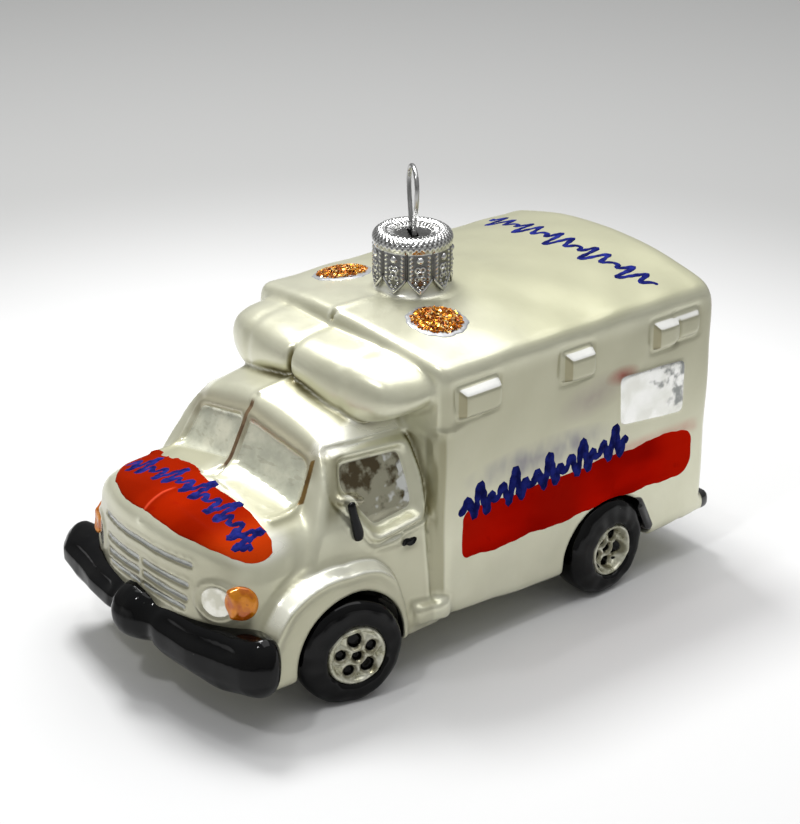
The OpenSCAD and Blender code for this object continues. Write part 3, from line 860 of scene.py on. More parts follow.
# ------------------------------------------------------------- glitter lights
FLAKE_HALF = 0.025  # half a flake's thickness


def glitter_light(name, box, shell_field, seed):
    """A painted disc on the roof, and the glitter flakes heaped on it."""
    middle = corners_mm(box)[2][:2]
    rng = np.random.default_rng(seed)

    def on_roof(xy):
        """Points in the plan and the shell's normals there, dropped onto the roof."""
        x = middle[0] + xy[:, 0]
        return drop_on_shell(shell_field, np.stack([x, middle[1] + xy[:, 1], roof_height(np.abs(x))], 1))

    n, rows = 120, 20
    a = np.arange(n) * 2 * math.pi / n
    ph = rng.uniform(0, 6.28, 4)
    edge = 5.25 * (1 + 0.02 * np.sin(9 * a + ph[0]) + 0.015 * np.sin(4 * a + ph[1])
                   + 0.012 * np.sin(17 * a + ph[2]))
    t = np.linspace(0, 1, rows)[:, None]
    base, g = on_roof(np.stack([t * edge * np.cos(a), t * edge * np.sin(a)], -1).reshape(-1, 2))
    lift = 0.3 * np.sqrt(1 - t ** 6) - 0.04 + 0 * a
    foot = base[-n:] - g[-n:] * 0.1
    v = np.concatenate([base + g * lift.reshape(-1, 1), foot, [foot.mean(0)]])
    centre = (rows + 1) * n
    f = np.concatenate([ring_quads(rows + 1, n), fan(centre, ring(n, centre - n)[::-1])])
    disc = mesh_object("light_ring_" + name, v, f)
    # Loose flakes: thin hexagons at all angles, higher towards the middle.
    plan, heaps, tints = [], [], []
    for _ in range(1500):
        r = 4.25 * math.sqrt(rng.uniform(0, 1)) * (1 + 0.04 * math.sin(7 * rng.uniform(0, 6)))
        turn = rng.uniform(0, 2 * math.pi)
        heaps.append(0.22 + 0.5 * (1 - (r / 4.3) ** 3) * rng.uniform(0.2, 1.0))
        plan.append((r * math.cos(turn), r * math.sin(turn)))
        tints.append(rng.uniform(0, 1))
    base, g = on_roof(np.array(plan))
    base = base + g * np.array(heaps)[:, None]
    sixth = np.arange(6)[:, None] * math.pi / 3
    after = (np.arange(6) + 1) % 6
    hexagon = np.array([[0, 1, 2, 3], [0, 3, 4, 5], [9, 8, 7, 6], [11, 10, 9, 6]]
                       + [[j, k, k + 6, j + 6] for k, j in enumerate(after)])
    parts = []
    for spot, normal in zip(base, g):
        normal = unit(normal + rng.normal(0, 0.55, 3))
        u = unit(np.cross(normal, rng.normal(0, 1, 3)))
        flat = rng.uniform(0.16, 0.3) * (np.cos(sixth) * u + np.sin(sixth) * np.cross(normal, u))
        thick = FLAKE_HALF * normal
        parts.append((np.concatenate([spot + flat + thick, spot + flat - thick]), hexagon))
    flakes = mesh_object("glitter_" + name, *join_parts(parts), smooth=False)
    attribute(flakes, "tint", np.repeat(tints, 12))
    return disc, flakes


# ------------------------------------------------------------ shader building
def plug(nt, value, sock):
    """Give a socket a number, a colour, a link or an expression."""
    value = value.v if isinstance(value, Expr) else value
    if isinstance(value, (int, float)):
        sock.default_value = value
    elif isinstance(value, tuple):
        sock.default_value = value + (1.0,)
    else:
        nt.links.new(value, sock)


class Expr:
    """A number in a node tree, with the usual arithmetic."""

    def __init__(self, nt, v):
        self.nt, self.v = nt, v

    def _math(self, op, *others, clamp=False):
        node = self.nt.nodes.new("ShaderNodeMath")
        node.operation, node.use_clamp = op, clamp
        for sock, o in zip(node.inputs, (self,) + others):
            plug(self.nt, o, sock)
        return Expr(self.nt, node.outputs[0])

    def __add__(self, o): return self._math("ADD", o)
    def __radd__(self, o): return self._math("ADD", o)
    def __sub__(self, o): return self._math("SUBTRACT", o)
    def __rsub__(self, o): return Expr(self.nt, float(o))._math("SUBTRACT", self)
    def __mul__(self, o): return self._math("MULTIPLY", o)
    def __rmul__(self, o): return self._math("MULTIPLY", o)
    def __truediv__(self, o): return self._math("DIVIDE", o)
    def __neg__(self): return self * -1.0
    def abs(self): return self._math("ABSOLUTE")
    def sqrt(self): return self._math("SQRT")
    def pow(self, o): return self._math("POWER", o)
    def max(self, o): return self._math("MAXIMUM", o)
    def min(self, o): return self._math("MINIMUM", o)
    def smin(self, o, k): return self._math("SMOOTH_MIN", o, k)
    def clamp(self): return self._math("ADD", 0.0, clamp=True)

    def step(self, lo, hi, a=0.0, b=1.0):
        """Smooth step from a at lo to b at hi."""
        node = self.nt.nodes.new("ShaderNodeMapRange")
        node.interpolation_type = "SMOOTHSTEP"
        self.nt.links.new(self.v, node.inputs["Value"])
        for key, val in (("From Min", lo), ("From Max", hi), ("To Min", a), ("To Max", b)):
            node.inputs[key].default_value = val
        return Expr(self.nt, node.outputs[0])

    def above(self, edge, soft):
        """0 up to an edge, and 1 from soft past it."""
        return self.step(edge, edge + soft)

    def below(self, edge, soft):
        """0 from an edge on, and 1 from soft before it."""
        return self.step(edge, edge - soft)

    def between(self, lo, soft_lo, hi, soft_hi):
        """1 between two edges, each with its soft stretch inside."""
        return self.above(lo, soft_lo) * self.below(hi, soft_hi)


def reach(*parts):
    """Distance from a middle, where each part is a coordinate, its middle and its scale."""
    return sum(((v - middle) / scale).pow(2.0) for v, middle, scale in parts).sqrt()


class Mat:
    """A material with a Principled shader and helpers for its node tree."""

    def __init__(self, name):
        self.mat = bpy.data.materials.new(name)
        self.mat.use_nodes = True
        self.nt = self.mat.node_tree
        self.bsdf = self.nt.nodes["Principled BSDF"]
        spot = self.nt.nodes.new("ShaderNodeTexCoord")
        scale = self.nt.nodes.new("ShaderNodeVectorMath")
        scale.operation = "SCALE"
        self.nt.links.new(spot.outputs["Object"], scale.inputs[0])
        scale.inputs["Scale"].default_value = 1 / MM
        self.mm = scale.outputs[0]
        sep = self.nt.nodes.new("ShaderNodeSeparateXYZ")
        self.nt.links.new(self.mm, sep.inputs[0])
        self.x, self.y, self.z = (Expr(self.nt, o) for o in sep.outputs)
        self.ax = self.x.abs()

    def set(self, **constants):
        for key, value in constants.items():
            self.bsdf.inputs[key.replace("_", " ").title().replace("Ior", "IOR")].default_value = value

    def attr(self, name):
        node = self.nt.nodes.new("ShaderNodeAttribute")
        node.attribute_name = name
        return Expr(self.nt, node.outputs["Fac"])

    def texture(self, kind, size, shift, stretch=(1, 1, 1)):
        """A texture node whose features are about size mm across."""
        vec = self.nt.nodes.new("ShaderNodeVectorMath")
        vec.operation = "MULTIPLY_ADD"
        self.nt.links.new(self.mm, vec.inputs[0])
        vec.inputs[1].default_value = tuple(s / size for s in stretch)
        vec.inputs[2].default_value = shift
        node = self.nt.nodes.new(kind)
        node.inputs["Scale"].default_value = 1.0
        self.nt.links.new(vec.outputs[0], node.inputs["Vector"])
        return node

    def noise(self, size, detail=2.0, rough=0.5, shift=(0, 0, 0), stretch=(1, 1, 1)):
        """Noise from 0 to 1."""
        node = self.texture("ShaderNodeTexNoise", size, shift, stretch)
        node.inputs["Detail"].default_value = detail
        node.inputs["Roughness"].default_value = rough
        return Expr(self.nt, node.outputs["Fac"])

    def cells(self, size, shift):
        """Distance from scattered points."""
        return Expr(self.nt, self.texture("ShaderNodeTexVoronoi", size, shift).outputs["Distance"])

    def mix(self, fac, a, b):
        node = self.nt.nodes.new("ShaderNodeMix")
        node.data_type = "RGBA"
        for index, value in ((0, fac), (6, a), (7, b)):
            plug(self.nt, value, node.inputs[index])
        return node.outputs[2]

    def tones(self, fac, lo, hi, dark, light):
        """Two colours, from dark where a number is lo to light where it is hi."""
        return self.mix(fac.step(lo, hi), srgb(*dark), srgb(*light))

    def blend(self, fac, a, b):
        """Mix an expression and a number."""
        return a + (b - a) * fac

    def layer(self, mask, color, rough=None, metal=None):
        """Lay a colour over what is there, and a roughness and a metal share where they are given."""
        self.col = self.mix(mask, self.col, color)
        if rough is not None:
            self.rough = self.blend(mask, self.rough, rough)
        if metal is not None:
            self.metal = self.blend(mask, self.metal, metal)

    def done(self, color, rough, metal=None, bump=None):
        """Link what is given to the shader, with bump as height, distance in mm and strength."""
        plug(self.nt, color, self.bsdf.inputs["Base Color"])
        plug(self.nt, rough, self.bsdf.inputs["Roughness"])
        if metal is not None:
            plug(self.nt, metal, self.bsdf.inputs["Metallic"])
        if bump:
            height, distance, strength = bump
            node = self.nt.nodes.new("ShaderNodeBump")
            plug(self.nt, strength, node.inputs["Strength"])
            plug(self.nt, distance * MM, node.inputs["Distance"])
            plug(self.nt, height, node.inputs["Height"])
            self.nt.links.new(node.outputs[0], self.bsdf.inputs["Normal"])
        return self.mat

    def poly(self, px, py, pts, corner):
        """Distance inside a convex polygon, with rounded corners."""
        d = None
        for nx, ny, far in polygon_sides(pts):
            side = px * nx + py * ny - far
            d = side if d is None else d.smin(side, corner)
        return d


def srgb(r, g, b):
    """Linear values of an sRGB colour given from 0 to 255."""
    return tuple(((c / 255) / 12.92 if c <= 10 else ((c / 255 + 0.055) / 1.055) ** 2.4) for c in (r, g, b))


def shade(m):
    """Painted highlights and painted shade over edges and stretches of the shell, and on the lamp blocks'
    tops and fronts.
    """
    y, z, ax, big, up, ahead = m.y, m.z, m.ax, m.big, m.up, m.ahead
    # Painted highlight: edges that face up or ahead are made near white.
    lit_edge = ((m.attr("edge") - 0.28).max(0.0) * 1.5).clamp() * (up + ahead * 0.4).clamp()
    m.layer(lit_edge * 0.85, srgb(252, 252, 244), 0.25, 0.25)
    # Painted shade: the side darker towards the roof, the roof behind (also rougher and less metallic), the
    # door and wing, the gap between cab and box, and the windscreen's outer pillar.
    side_top = m.side * (z + (big - 0.5) * 14.0).step(18.0, 42.0) * z.below(52.0, 4.0)
    m.layer(side_top * 0.5, srgb(150, 146, 116))
    roof = z.above(51.5, 2.0) * (y + (big - 0.5) * 24.0).above(-3.0, 20.0)
    m.layer(roof * 0.68, srgb(178, 177, 142), 0.36, 0.45)
    flank = y.between(-50.0, 6.0, -11.0, 1.0) * (z - (big - 0.5) * 8.0).below(30.0, 8.0) * ax.step(18.5, 20.5)
    m.layer(flank * 0.36, srgb(146, 141, 108))
    hollow = y.between(-11.4, 0.9, -8.2, 0.5) * z.between(12.0, 2.0, 43.0, 3.0) * ax.step(21.0, 22.0)
    m.layer(hollow * 0.6, srgb(128, 122, 84))
    lean = (y + 28.2 - (z - 34.0) * 0.4).abs().step(2.2, 0.6) * z.between(30.0, 3.0, 42.5, 1.2)
    m.layer(lean * ax.step(14.5, 16.5) * 0.65, srgb(132, 126, 90))
    # Painted highlights: the rail over the door, the wing's top and the hood's shoulder, near white where
    # they face up.
    rail = (z - (y + 20.0) * 0.05).above(40.6, 0.8) * z.below(46.0, 1.0) * y.between(-29.5, 1.0, -11.5, 1.0)
    m.layer((rail * ax.step(13.5, 15.0) * up.step(0.25, 0.7)).clamp() * 0.8, srgb(252, 252, 240), 0.25, 0.25)
    wing = y.between(-46.0, 3.0, -13.0, 2.0) * z.between(17.0, 2.0, 27.5, 1.5) * ax.step(22.0, 23.2)
    m.layer((wing * up.step(0.3, 0.75)).clamp() * 0.8, srgb(253, 253, 240), 0.22, 0.3)
    shoulder = ax.step(16.2, 18.6) * z.between(26.0, 3.0, 35.0, 1.0) * y.below(-35.0, 4.0)
    m.layer((shoulder * up.step(0.2, 0.65)).clamp() * 0.85, srgb(254, 253, 244), 0.24, 0.25)
    # Painted shade on the nose, darkest beside its middle; a painted highlight on the blocks' tops and
    # painted shade on their fronts; painted shade on the hood behind its red panel, which is also rougher.
    front = ahead.step(0.25, 0.8) * y.below(-44.0, 3.0)
    m.layer(front * z.below(31.0, 4.0) * 0.5, srgb(142, 136, 112))
    beside = (ax - 8.0).abs().step(0.0, 6.0) * z.below(26.0, 6.0) * (m.mid * 0.8 + 0.3).clamp()
    m.layer(front * beside * 0.4, srgb(112, 106, 82))
    block = ax.step(25.25, 25.5) * z.above(43.0, 0.5) * y.above(-9.0, 1.0)
    m.layer(block * up.step(0.3, 0.55), srgb(255, 255, 250), 0.3, 0.1)
    m.layer(block * ahead.step(0.35, 0.6) * 0.6, srgb(146, 136, 98))
    hood = y.between(-42.0, 5.0, -29.0, 5.0) * z.between(25.0, 5.0, 38.0, 3.0) * ax.step(19.5, 17.0)
    m.layer(hood * (ax.step(0.0, 5.0) * 0.7 + ax.step(10.0, 15.0) * 0.15), srgb(150, 148, 120), 0.45, 0.2)


def smears(m):
    """Hazes of grey, red and blue paint on the box's side, and red overspray above its band."""
    y, z, side, mid = m.y, m.z, m.side, m.mid
    grey = (1.0 - reach((y, 24.5, 9.0), (z - (y - 24.5) * 0.15, 39.5, 4.0))).max(0.0)
    m.layer((grey * side * (mid + 0.3)).clamp() * 0.7, srgb(142, 126, 124))
    red = (1.0 - reach((y, 31.0, 4.2), (z, 41.6, 2.0))).max(0.0)
    m.layer((red * side * (mid + 0.6)).clamp() * 0.9, srgb(150, 62, 50))
    blue = (1.0 - reach((y, 13.0, 19.0), (z, 32.0, 3.4))).max(0.0)
    streaks = (m.noise(3.2, 2, shift=(2, 2, 9), stretch=(1, 1, 0.5)) - 0.26).max(0.0) * 2.8
    m.layer((blue * side * streaks).clamp() * 0.85, srgb(104, 100, 128))
    over = m.poly(y, z, SIDE_BAND, 3.4).step(-1.9, 0.1) * z.above(25.0, 1.5) * y.above(16.0, 12.0)
    m.layer((over * side * (mid * 0.9 + 0.1)).clamp() * 0.6, srgb(178, 66, 52))


def box_windows(m):
    """Silver windows in the side and the back, and the back's amber lamps and red corners."""
    y, z, ax, mid, warp = m.y, m.z, m.ax, m.mid, m.warp
    silver = m.tones(m.noise(4.0, 3, shift=(8, 8, 2)), 0.35, 0.62, (232, 232, 224), (250, 250, 246))
    corner = m.noise(2.6, 3, shift=(1, 4, 8)) + (y - 42.0) * 0.035 + (z - 38.0) * 0.02
    silver = m.mix(corner.step(0.48, 0.66), silver, srgb(140, 143, 140))
    polish = 0.2 + (mid - 0.5) * 0.15
    window = m.poly(y, z, SIDE_WINDOW, 2.2) + warp * 0.25
    m.layer(window.step(-0.1, 0.1) * m.side, silver, polish, 0.75)
    back = y.above(52.2, 0.4)
    window = m.poly(ax, z, REAR_WINDOW, 2.2) + warp * 0.15
    m.layer(window.step(-0.1, 0.1) * back, silver, polish, 0.25)
    lamp = 1.9 - reach((ax, TAIL_LAMP[0], 1.0), (z, TAIL_LAMP[1], 1.0)) + warp * 0.2
    m.layer(lamp.step(-0.1, 0.1) * back, m.mix(mid, srgb(188, 92, 4), srgb(222, 134, 10)), 0.15, 0.2)
    strip = (1.5 - (ax - 23.3 - warp * 0.25).abs()).min(12.0 - (z - 38.5 + warp * 0.3).abs())
    red = m.mix(mid, srgb(140, 4, 0), srgb(176, 14, 2))
    m.layer(strip.step(-0.1, 0.15) * y.above(52.4, 0.5), red, 0.3, 0.0)


def windscreen(m):
    """The panes with the shaded bevel over them, the middle pillar and a brown strip at the left edge."""
    z, ax, mid = m.z, m.ax, m.mid
    ahead = m.y.below(-25.5, 1.0)
    pane = m.poly(ax, z, PANE, 1.4)
    # Painted shade on the bevel under the roof's front edge.
    m.layer(pane.step(-3.2, -0.9) * (z + ax * 0.1).above(38.0, 2.0) * ahead * 0.55, srgb(138, 126, 92))
    color = m.tones(m.noise(5.0, 4, 0.6, shift=(2, 7, 7)), 0.3, 0.7, (202, 204, 184), (244, 244, 220))
    scratch = m.noise(1.4, 3, shift=(4, 7, 1), stretch=(0.5, 1, 1.6)).step(0.56, 0.66)
    color = m.mix(scratch * 0.25, color, srgb(146, 142, 120))
    m.layer(pane.step(0.0, 0.25) * ahead, color, 0.2 + (mid - 0.5) * 0.16, 0.42)
    pillar = (0.45 - ax + m.warp * 0.12).step(-0.08, 0.12) * z.between(34.6, 0.8, 45.6, 0.8)
    m.layer(pillar * ahead, m.tones(mid, 0.3, 0.7, (96, 70, 44), (142, 118, 88)), 0.25, 0.4)
    strip = m.poly(ax, z, [(16.3, 33.6), (17.0, 33.8), (15.8, 40.2), (15.2, 39.9)], 0.3)
    m.layer(strip.step(-0.1, 0.15) * ahead * m.x.step(0.0, 1.0),
            m.tones(mid, 0.3, 0.7, (92, 66, 24), (134, 104, 50)), 0.22, 0.6)


def door_glass(m):
    """Mirror silver with brown mottling and a painted reflection."""
    y, z = m.y, m.z
    brown = m.noise(3.0, 3, 0.55, shift=(6, 3, 5)) + (z - 34.0) * 0.02
    color = m.tones(brown, 0.44, 0.62, (178, 175, 152), (84, 72, 46))
    # Painted reflection: a bright patch, larger towards the back of the window.
    shine = m.noise(2.6, 2, shift=(2, 1, 5)) + (y + 18.0) * 0.03 - (z - 32.0).abs() * 0.02
    color = m.mix(shine.step(0.54, 0.66), color, srgb(244, 246, 242))
    glass = m.poly(y, z, DOOR_WINDOW, 1.8).step(0.35, 0.65) * m.ax.step(14.0, 15.2) * y.below(-12.0, 0.6)
    m.layer(glass, color, 0.14 + m.fine * 0.1, 0.6)


def grille_and_neck(m):
    """Grey silver in the grille's slots, painted shade round their edges, and bare silvered glass inside the
    neck.
    """
    nose = m.y.below(-47.5, 0.8)
    silver = m.mix(m.mid, srgb(142, 144, 138), srgb(184, 186, 182))
    for zc, x0, x1, fall in SLOTS:
        beyond = (m.ax - x1).max(0.0), (x0 - m.ax).max(0.0)
        d = reach((m.z + m.ax * (fall / x1), zc, 1.0), *((end, 0.0, 1.0) for end in beyond))
        m.layer(d.step(0.48, 0.3) * nose, silver, 0.22, 0.6)
        # Painted shade along each slot's edge.
        m.layer((d - 0.6).abs().step(0.25, 0.05) * nose * 0.45, srgb(126, 120, 92))
    throat = reach((m.x, 0.0, 1.0), (m.y, NECK_Y, 1.0)).step(NECK_BORE + 0.35, NECK_BORE + 0.05)
    m.layer(throat * m.z.above(NECK_FLOOR - 1.0, 1.0), srgb(170, 170, 164), 0.12, 0.9)


def black_parts(m):
    """Black enamel in the wheel housings, on the mud flaps and on the rear bumper."""
    y, z, ax, warp = m.y, m.z, m.ax, m.warp
    for yc, zc, r in (ARCH_F, ARCH_R):
        d = reach((y, yc, 1.0), (z, zc, 1.0)) + warp * 0.25
        m.layer(d.step(r + 0.25, r) * ax.step(12.0, 13.0), srgb(9, 9, 9), 0.12, 0.0)
    flap = m.poly(y, z, [(35.0, 16.8), (37.2, 16.4), (40.4, 9.8), (38.6, 8.0)], 1.0)
    m.layer(flap.step(-0.1, 0.15) * ax.step(19.0, 20.0), srgb(9, 9, 9), 0.12, 0.0)
    m.layer((y + warp * 0.2).step(53.1, 53.35) * z.below(13.2, 0.3), srgb(10, 10, 10), 0.12, 0.0)


def lacquer_material():
    """Pearl lacquer over silvered glass, with painted shade in the creases and all that is painted on it."""
    m = Mat("painted_lacquer")
    m.set(coat_weight=0.35, coat_roughness=0.05, ior=1.5)
    m.big, m.mid = m.noise(14.0, 3), m.noise(3.0, 3, shift=(3, 1, 7))
    m.fine = m.noise(0.7, 2, shift=(9, 2, 1))
    m.warp = (m.noise(5.0, 2, shift=(5, 5, 5)) - 0.5) * 1.1 + (m.noise(1.2, 2, shift=(1, 8, 3)) - 0.5) * 0.3
    m.up, m.ahead, crease = m.attr("up"), m.attr("ahead"), m.attr("crease")
    m.side = m.ax.step(23.6, 24.4)
    m.col = m.mix((m.big - 0.5) * 0.9 + (m.mid - 0.5) * 0.5 + 0.5, srgb(212, 211, 184), srgb(230, 229, 206))
    m.rough = 0.31 + (m.mid - 0.5) * 0.1 + crease * 0.1
    m.metal = 0.58 + (m.big - 0.5) * 0.15
    # Painted shade: olive in the creases, brown in the deepest.
    m.layer(((crease - 0.22).max(0.0) * 1.3 * (m.mid * 0.6 + 0.7)).clamp(), srgb(140, 133, 88))
    m.layer(((crease - 0.6).max(0.0) * 1.6).clamp() * 0.8, srgb(92, 80, 38))
    for paint in (shade, smears, box_windows, windscreen, door_glass, grille_and_neck, black_parts):
        paint(m)
    return m.done(m.col, m.rough, m.metal, (m.mid * 0.5 + m.fine * 0.12, 0.12, 0.5))


def red_material(on_top):
    """Red enamel, more orange on the hood than on the sides."""
    m = Mat("red_enamel_hood" if on_top else "red_enamel_side")
    m.set(coat_weight=0.0, ior=1.08, specular_ior_level=0.02)
    slow = m.noise(9.0, 2, shift=(4, 4, 4), stretch=(1, 0.5, 1))
    mid = m.noise(2.4, 3, shift=(1, 5, 2))
    if on_top:
        col = m.tones(slow, 0.32, 0.68, (132, 22, 2), (160, 32, 3))
        # Painted shade over the hood towards -x, painted light towards its +x end, and a painted highlight
        # along the middle of its front.
        col = m.mix(m.x.step(6.0, -12.0) * 0.75, col, srgb(128, 26, 4))
        col = m.mix(m.x.above(11.0, 8.0) * 0.7, col, srgb(208, 66, 14))
        col = m.mix((1.0 - m.ax / 0.4).max(0.0) * m.y.below(-44.0, 2.0) * 0.6, col, srgb(240, 90, 60))
    else:
        col = m.tones(slow, 0.32, 0.68, (150, 9, 1), (190, 17, 2))
        col = m.mix(m.y.above(38.0, 8.0) * 0.8, col, srgb(194, 24, 3))
        col = m.mix(m.y.step(6.0, -5.0) * m.z.step(16.0, 24.0), col, srgb(180, 22, 8))
        dark = ((m.y - 16.0).abs().step(9.0, 2.0) * slow.step(0.32, 0.68)).clamp()
        col = m.mix(dark * 0.5, col, srgb(112, 16, 8))
    col = m.mix(mid.step(0.62, 0.8) * 0.35, col, srgb(140, 6, 2))
    return m.done(col, 0.24 + mid * 0.12, bump=(mid, 0.08, 0.5))


def enamel_material():
    """Black enamel with a few grains of dust in it."""
    m = Mat("black_enamel")
    m.set(coat_weight=0.4, coat_roughness=0.015, ior=1.5, specular_ior_level=0.02)
    slow, fine = m.noise(4.0, 3), m.noise(0.9, 3, shift=(3, 3, 3))
    dust = m.cells(1.1, (2, 5, 1)).step(0.09, 0.03) * fine.step(0.6, 0.7)
    col = m.mix(dust, m.tones(slow, 0.35, 0.7, (2, 2, 3), (8, 8, 8)), srgb(120, 120, 116))
    return m.done(col, 0.1 + fine * 0.08, bump=(slow + fine * 0.2, 0.22, 0.7))


def disc_material():
    """Pearl wheel disc with black holes, each in a darker olive ring."""
    m = Mat("wheel_disc_pearl")
    m.set(coat_weight=0.1, coat_roughness=0.06, specular_ior_level=0.12)
    hole, n = m.attr("hole"), m.noise(1.5, 3)
    black = hole.step(0.1, -0.02)
    col = m.tones(n, 0.3, 0.7, (168, 166, 142), (226, 225, 208))
    col = m.mix((hole - 0.2).abs().step(0.4, 0.05) * 0.6, col, srgb(104, 96, 66))
    col = m.mix(black, col, srgb(6, 5, 3))
    return m.done(col, m.blend(black, 0.24 + n * 0.08, 0.12), (1.0 - black) * 0.6, (n, 0.1, 0.5))


def blue_material():
    """Blue brush paint."""
    m = Mat("blue_brush_paint")
    m.set(coat_weight=0.0, ior=1.1, specular_ior_level=0.1)
    n = m.noise(1.6, 3)
    return m.done(m.tones(n, 0.3, 0.7, (16, 20, 74), (34, 42, 122)), 0.3 + n * 0.15,
                  bump=(m.noise(0.5, 2), 0.08, 0.6))


def cap_material():
    """Bright sheet, with painted shade in the stamped pattern's low parts."""
    m = Mat("stamped_silver")
    m.set(metallic=1.0)
    n = m.noise(1.2, 3)
    col = m.mix(m.attr("relief").step(0.15, -0.02) * 0.88,
                m.tones(n, 0.3, 0.7, (190, 190, 189), (234, 234, 233)), srgb(74, 73, 68))
    return m.done(col, 0.1 + n * 0.12, bump=(m.noise(0.35, 2), 0.04, 0.5))


def wire_material():
    """Drawn steel wire."""
    m = Mat("drawn_wire")
    m.set(metallic=1.0)
    n = m.noise(0.5, 2, stretch=(1, 1, 0.15))
    return m.done(m.mix(n, srgb(150, 150, 148), srgb(200, 200, 200)), 0.2 + n * 0.1, bump=(n, 0.03, 0.4))


def ring_material():
    """The grey paint under the glitter."""
    m = Mat("light_ring_paint")
    m.set(coat_weight=0.4, coat_roughness=0.1)
    n = m.noise(1.0, 3)
    col = m.mix(n, srgb(142, 144, 148), srgb(196, 198, 200))
    return m.done(col, 0.25 + n * 0.15, 0.3 + n * 0.2, (n, 0.1, 0.6))


def flake_material():
    """Amber glitter, each flake with its own tint, the palest few painted as glints."""
    m = Mat("amber_glitter")
    m.set(coat_weight=0.3, coat_roughness=0.05)
    t = m.attr("tint")
    col = m.tones(t, 0.0, 0.4, (92, 34, 2), (184, 96, 8))
    col = m.mix(t.above(0.45, 0.3), col, srgb(230, 160, 34))
    # Painted glints: the palest flakes, near white and less metallic.
    col = m.mix(t.above(0.86, 0.04), col, srgb(255, 240, 170))
    return m.done(col, 0.16 + m.noise(0.4, 1) * 0.1, 0.75 - t.above(0.9, 0.04) * 0.3)


def amber_material():
    """Amber lacquer on the indicators."""
    m = Mat("amber_lamp_lacquer")
    m.set(coat_weight=0.5, coat_roughness=0.03)
    n, edge = m.noise(2.2, 3), m.noise(0.8, 2, shift=(4, 2, 2))
    col = m.tones(n, 0.35, 0.65, (184, 88, 0), (222, 136, 2))
    col = m.mix(edge.step(0.6, 0.8) * 0.6, col, srgb(150, 74, 4))
    return m.done(col, 0.14 + n * 0.1, 0.2 + n * 0.2, (n, 0.2, 0.5))


def lens_material():
    """Silver headlight."""
    m = Mat("headlight_silver")
    m.set(coat_weight=1.0, coat_roughness=0.03)
    n = m.noise(1.6, 3)
    return m.done(m.tones(n, 0.35, 0.65, (204, 202, 184), (240, 238, 226)), 0.14 + n * 0.08, 0.45 + n * 0.2,
                  (m.noise(1.2, 1, stretch=(1, 1, 0.25)), 0.15, 0.7))


# ------------------------------------------------------------------ assembly
def finish_piece(ob, mat, *nodes, body="ornament", slot="lacquered_glass"):
    """Give a piece its material and body, and hide the CAD nodes that it replaces."""
    ob.data.materials.append(mat)
    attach(ob, body)
    if nodes:
        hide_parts(*nodes)
    return ob


shell, shell_field = shell_object()
lacquer, black, disc_mat = lacquer_material(), enamel_material(), disc_material()
finish_piece(shell, lacquer, "glass_body")
finish_piece(bumper_object(), black)
for wname, spot, side, seed in (("front_left", FRONT, 1, 11), ("front_right", FRONT, -1, 12),
                                ("rear_left", REAR, 1, 13), ("rear_right", REAR, -1, 14)):
    tyre, disc = wheel_objects(wname, spot, side, seed)
    finish_piece(tyre, black)
    finish_piece(disc, disc_mat)

# Thick red enamel: the side bands and the hood panel.
def wander(a, b, seed):
    """The unsteady edge of a hand-laid brush stroke, in mm."""
    return (0.16 * np.sin(a * 0.45 + b * 0.3 + seed) + 0.07 * np.sin(a * 1.1 - b * 1.3 + 2 * seed)
            + 0.025 * np.sin(a * 2.9 + b * 2.9 + 3 * seed))


def band_place(u, v):
    y = 22.2 + 27.1 * u
    corner = np.where(u < 0, 1.6, 3.2)
    d = np.clip(27.1 - np.abs(y - 22.2), 0, corner)
    half = 4.55 - corner + np.sqrt(np.maximum(corner ** 2 - (corner - d) ** 2, 0))
    z = 22.35 + half * v + wander(y, 3 * v, 1.0) * 1.3 * v
    return np.stack([BOX_X + 0 * y, y + 0.4 * wander(z, y, 3.0), z], 1)


HOOD_X = (-18.9, -18.0, -16.0, -12.7, -6.2, 0.2, 5.0, 10.2, 15.2, 19.4, 21.6, 22.5)
HOOD_BACK = (-39.2, -37.9, -36.9, -36.4, -37.2, -38.9, -39.0, -39.2, -39.3, -39.3, -40.0, -41.9)
HOOD_FRONT = (-40.6, -42.5, -45.1, -48.6, -50.8, -51.5, -51.3, -50.9, -49.9, -47.9, -45.6, -43.3)


def hood_place(u, v):
    x = 1.8 + 20.7 * u
    back, front = np.interp(x, HOOD_X, HOOD_BACK), np.interp(x, HOOD_X, HOOD_FRONT)
    y = (back + front) / 2 + (back - front) / 2 * v + wander(x, 3 * v, 2.0) * np.abs(v)
    return np.stack([x, y, hood_top(np.abs(x), y) + 0.2], 1)


nu, nv = ((260, 48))
v, f = paint_pad(shell_field, band_place, nu, nv, 0.12)
finish_piece(mesh_object("red_side_bands", *mirrored(v, f)), red_material(False))
v, f = paint_pad(shell_field, hood_place, nu, nv, 0.12)
finish_piece(mesh_object("red_hood_panel", v, f), red_material(True))

# Lamps at the nose's corners: a silver lens, and an amber indicator round the corner.
patch_step = 0.22


def lens_region(x, y, z):
    return np.sqrt(((x - 16.6) / 3.1) ** 2 + ((y + 49.6) / 4.0) ** 2 + ((z - 21.7) / 2.9) ** 2) * 3.0 - 3.0


def amber_region(x, y, z):
    return np.sqrt(((y + 47.5) / 3.9) ** 2 + ((z - 22.2) / 3.7) ** 2 + ((x - 20.8) / 3.7) ** 2) * 3.7 - 3.7


for name, fn, out, mat in (("headlights", lens_region, 0.2, lens_material()),
                           ("indicators", amber_region, 0.75, amber_material())):
    v, f = enamel_patch(name, shell_field, fn, (11, -55, 16), (27, -41, 29), out, 0.5, patch_step)
    finish_piece(mesh_object(name, *mirrored(v, f)), mat)

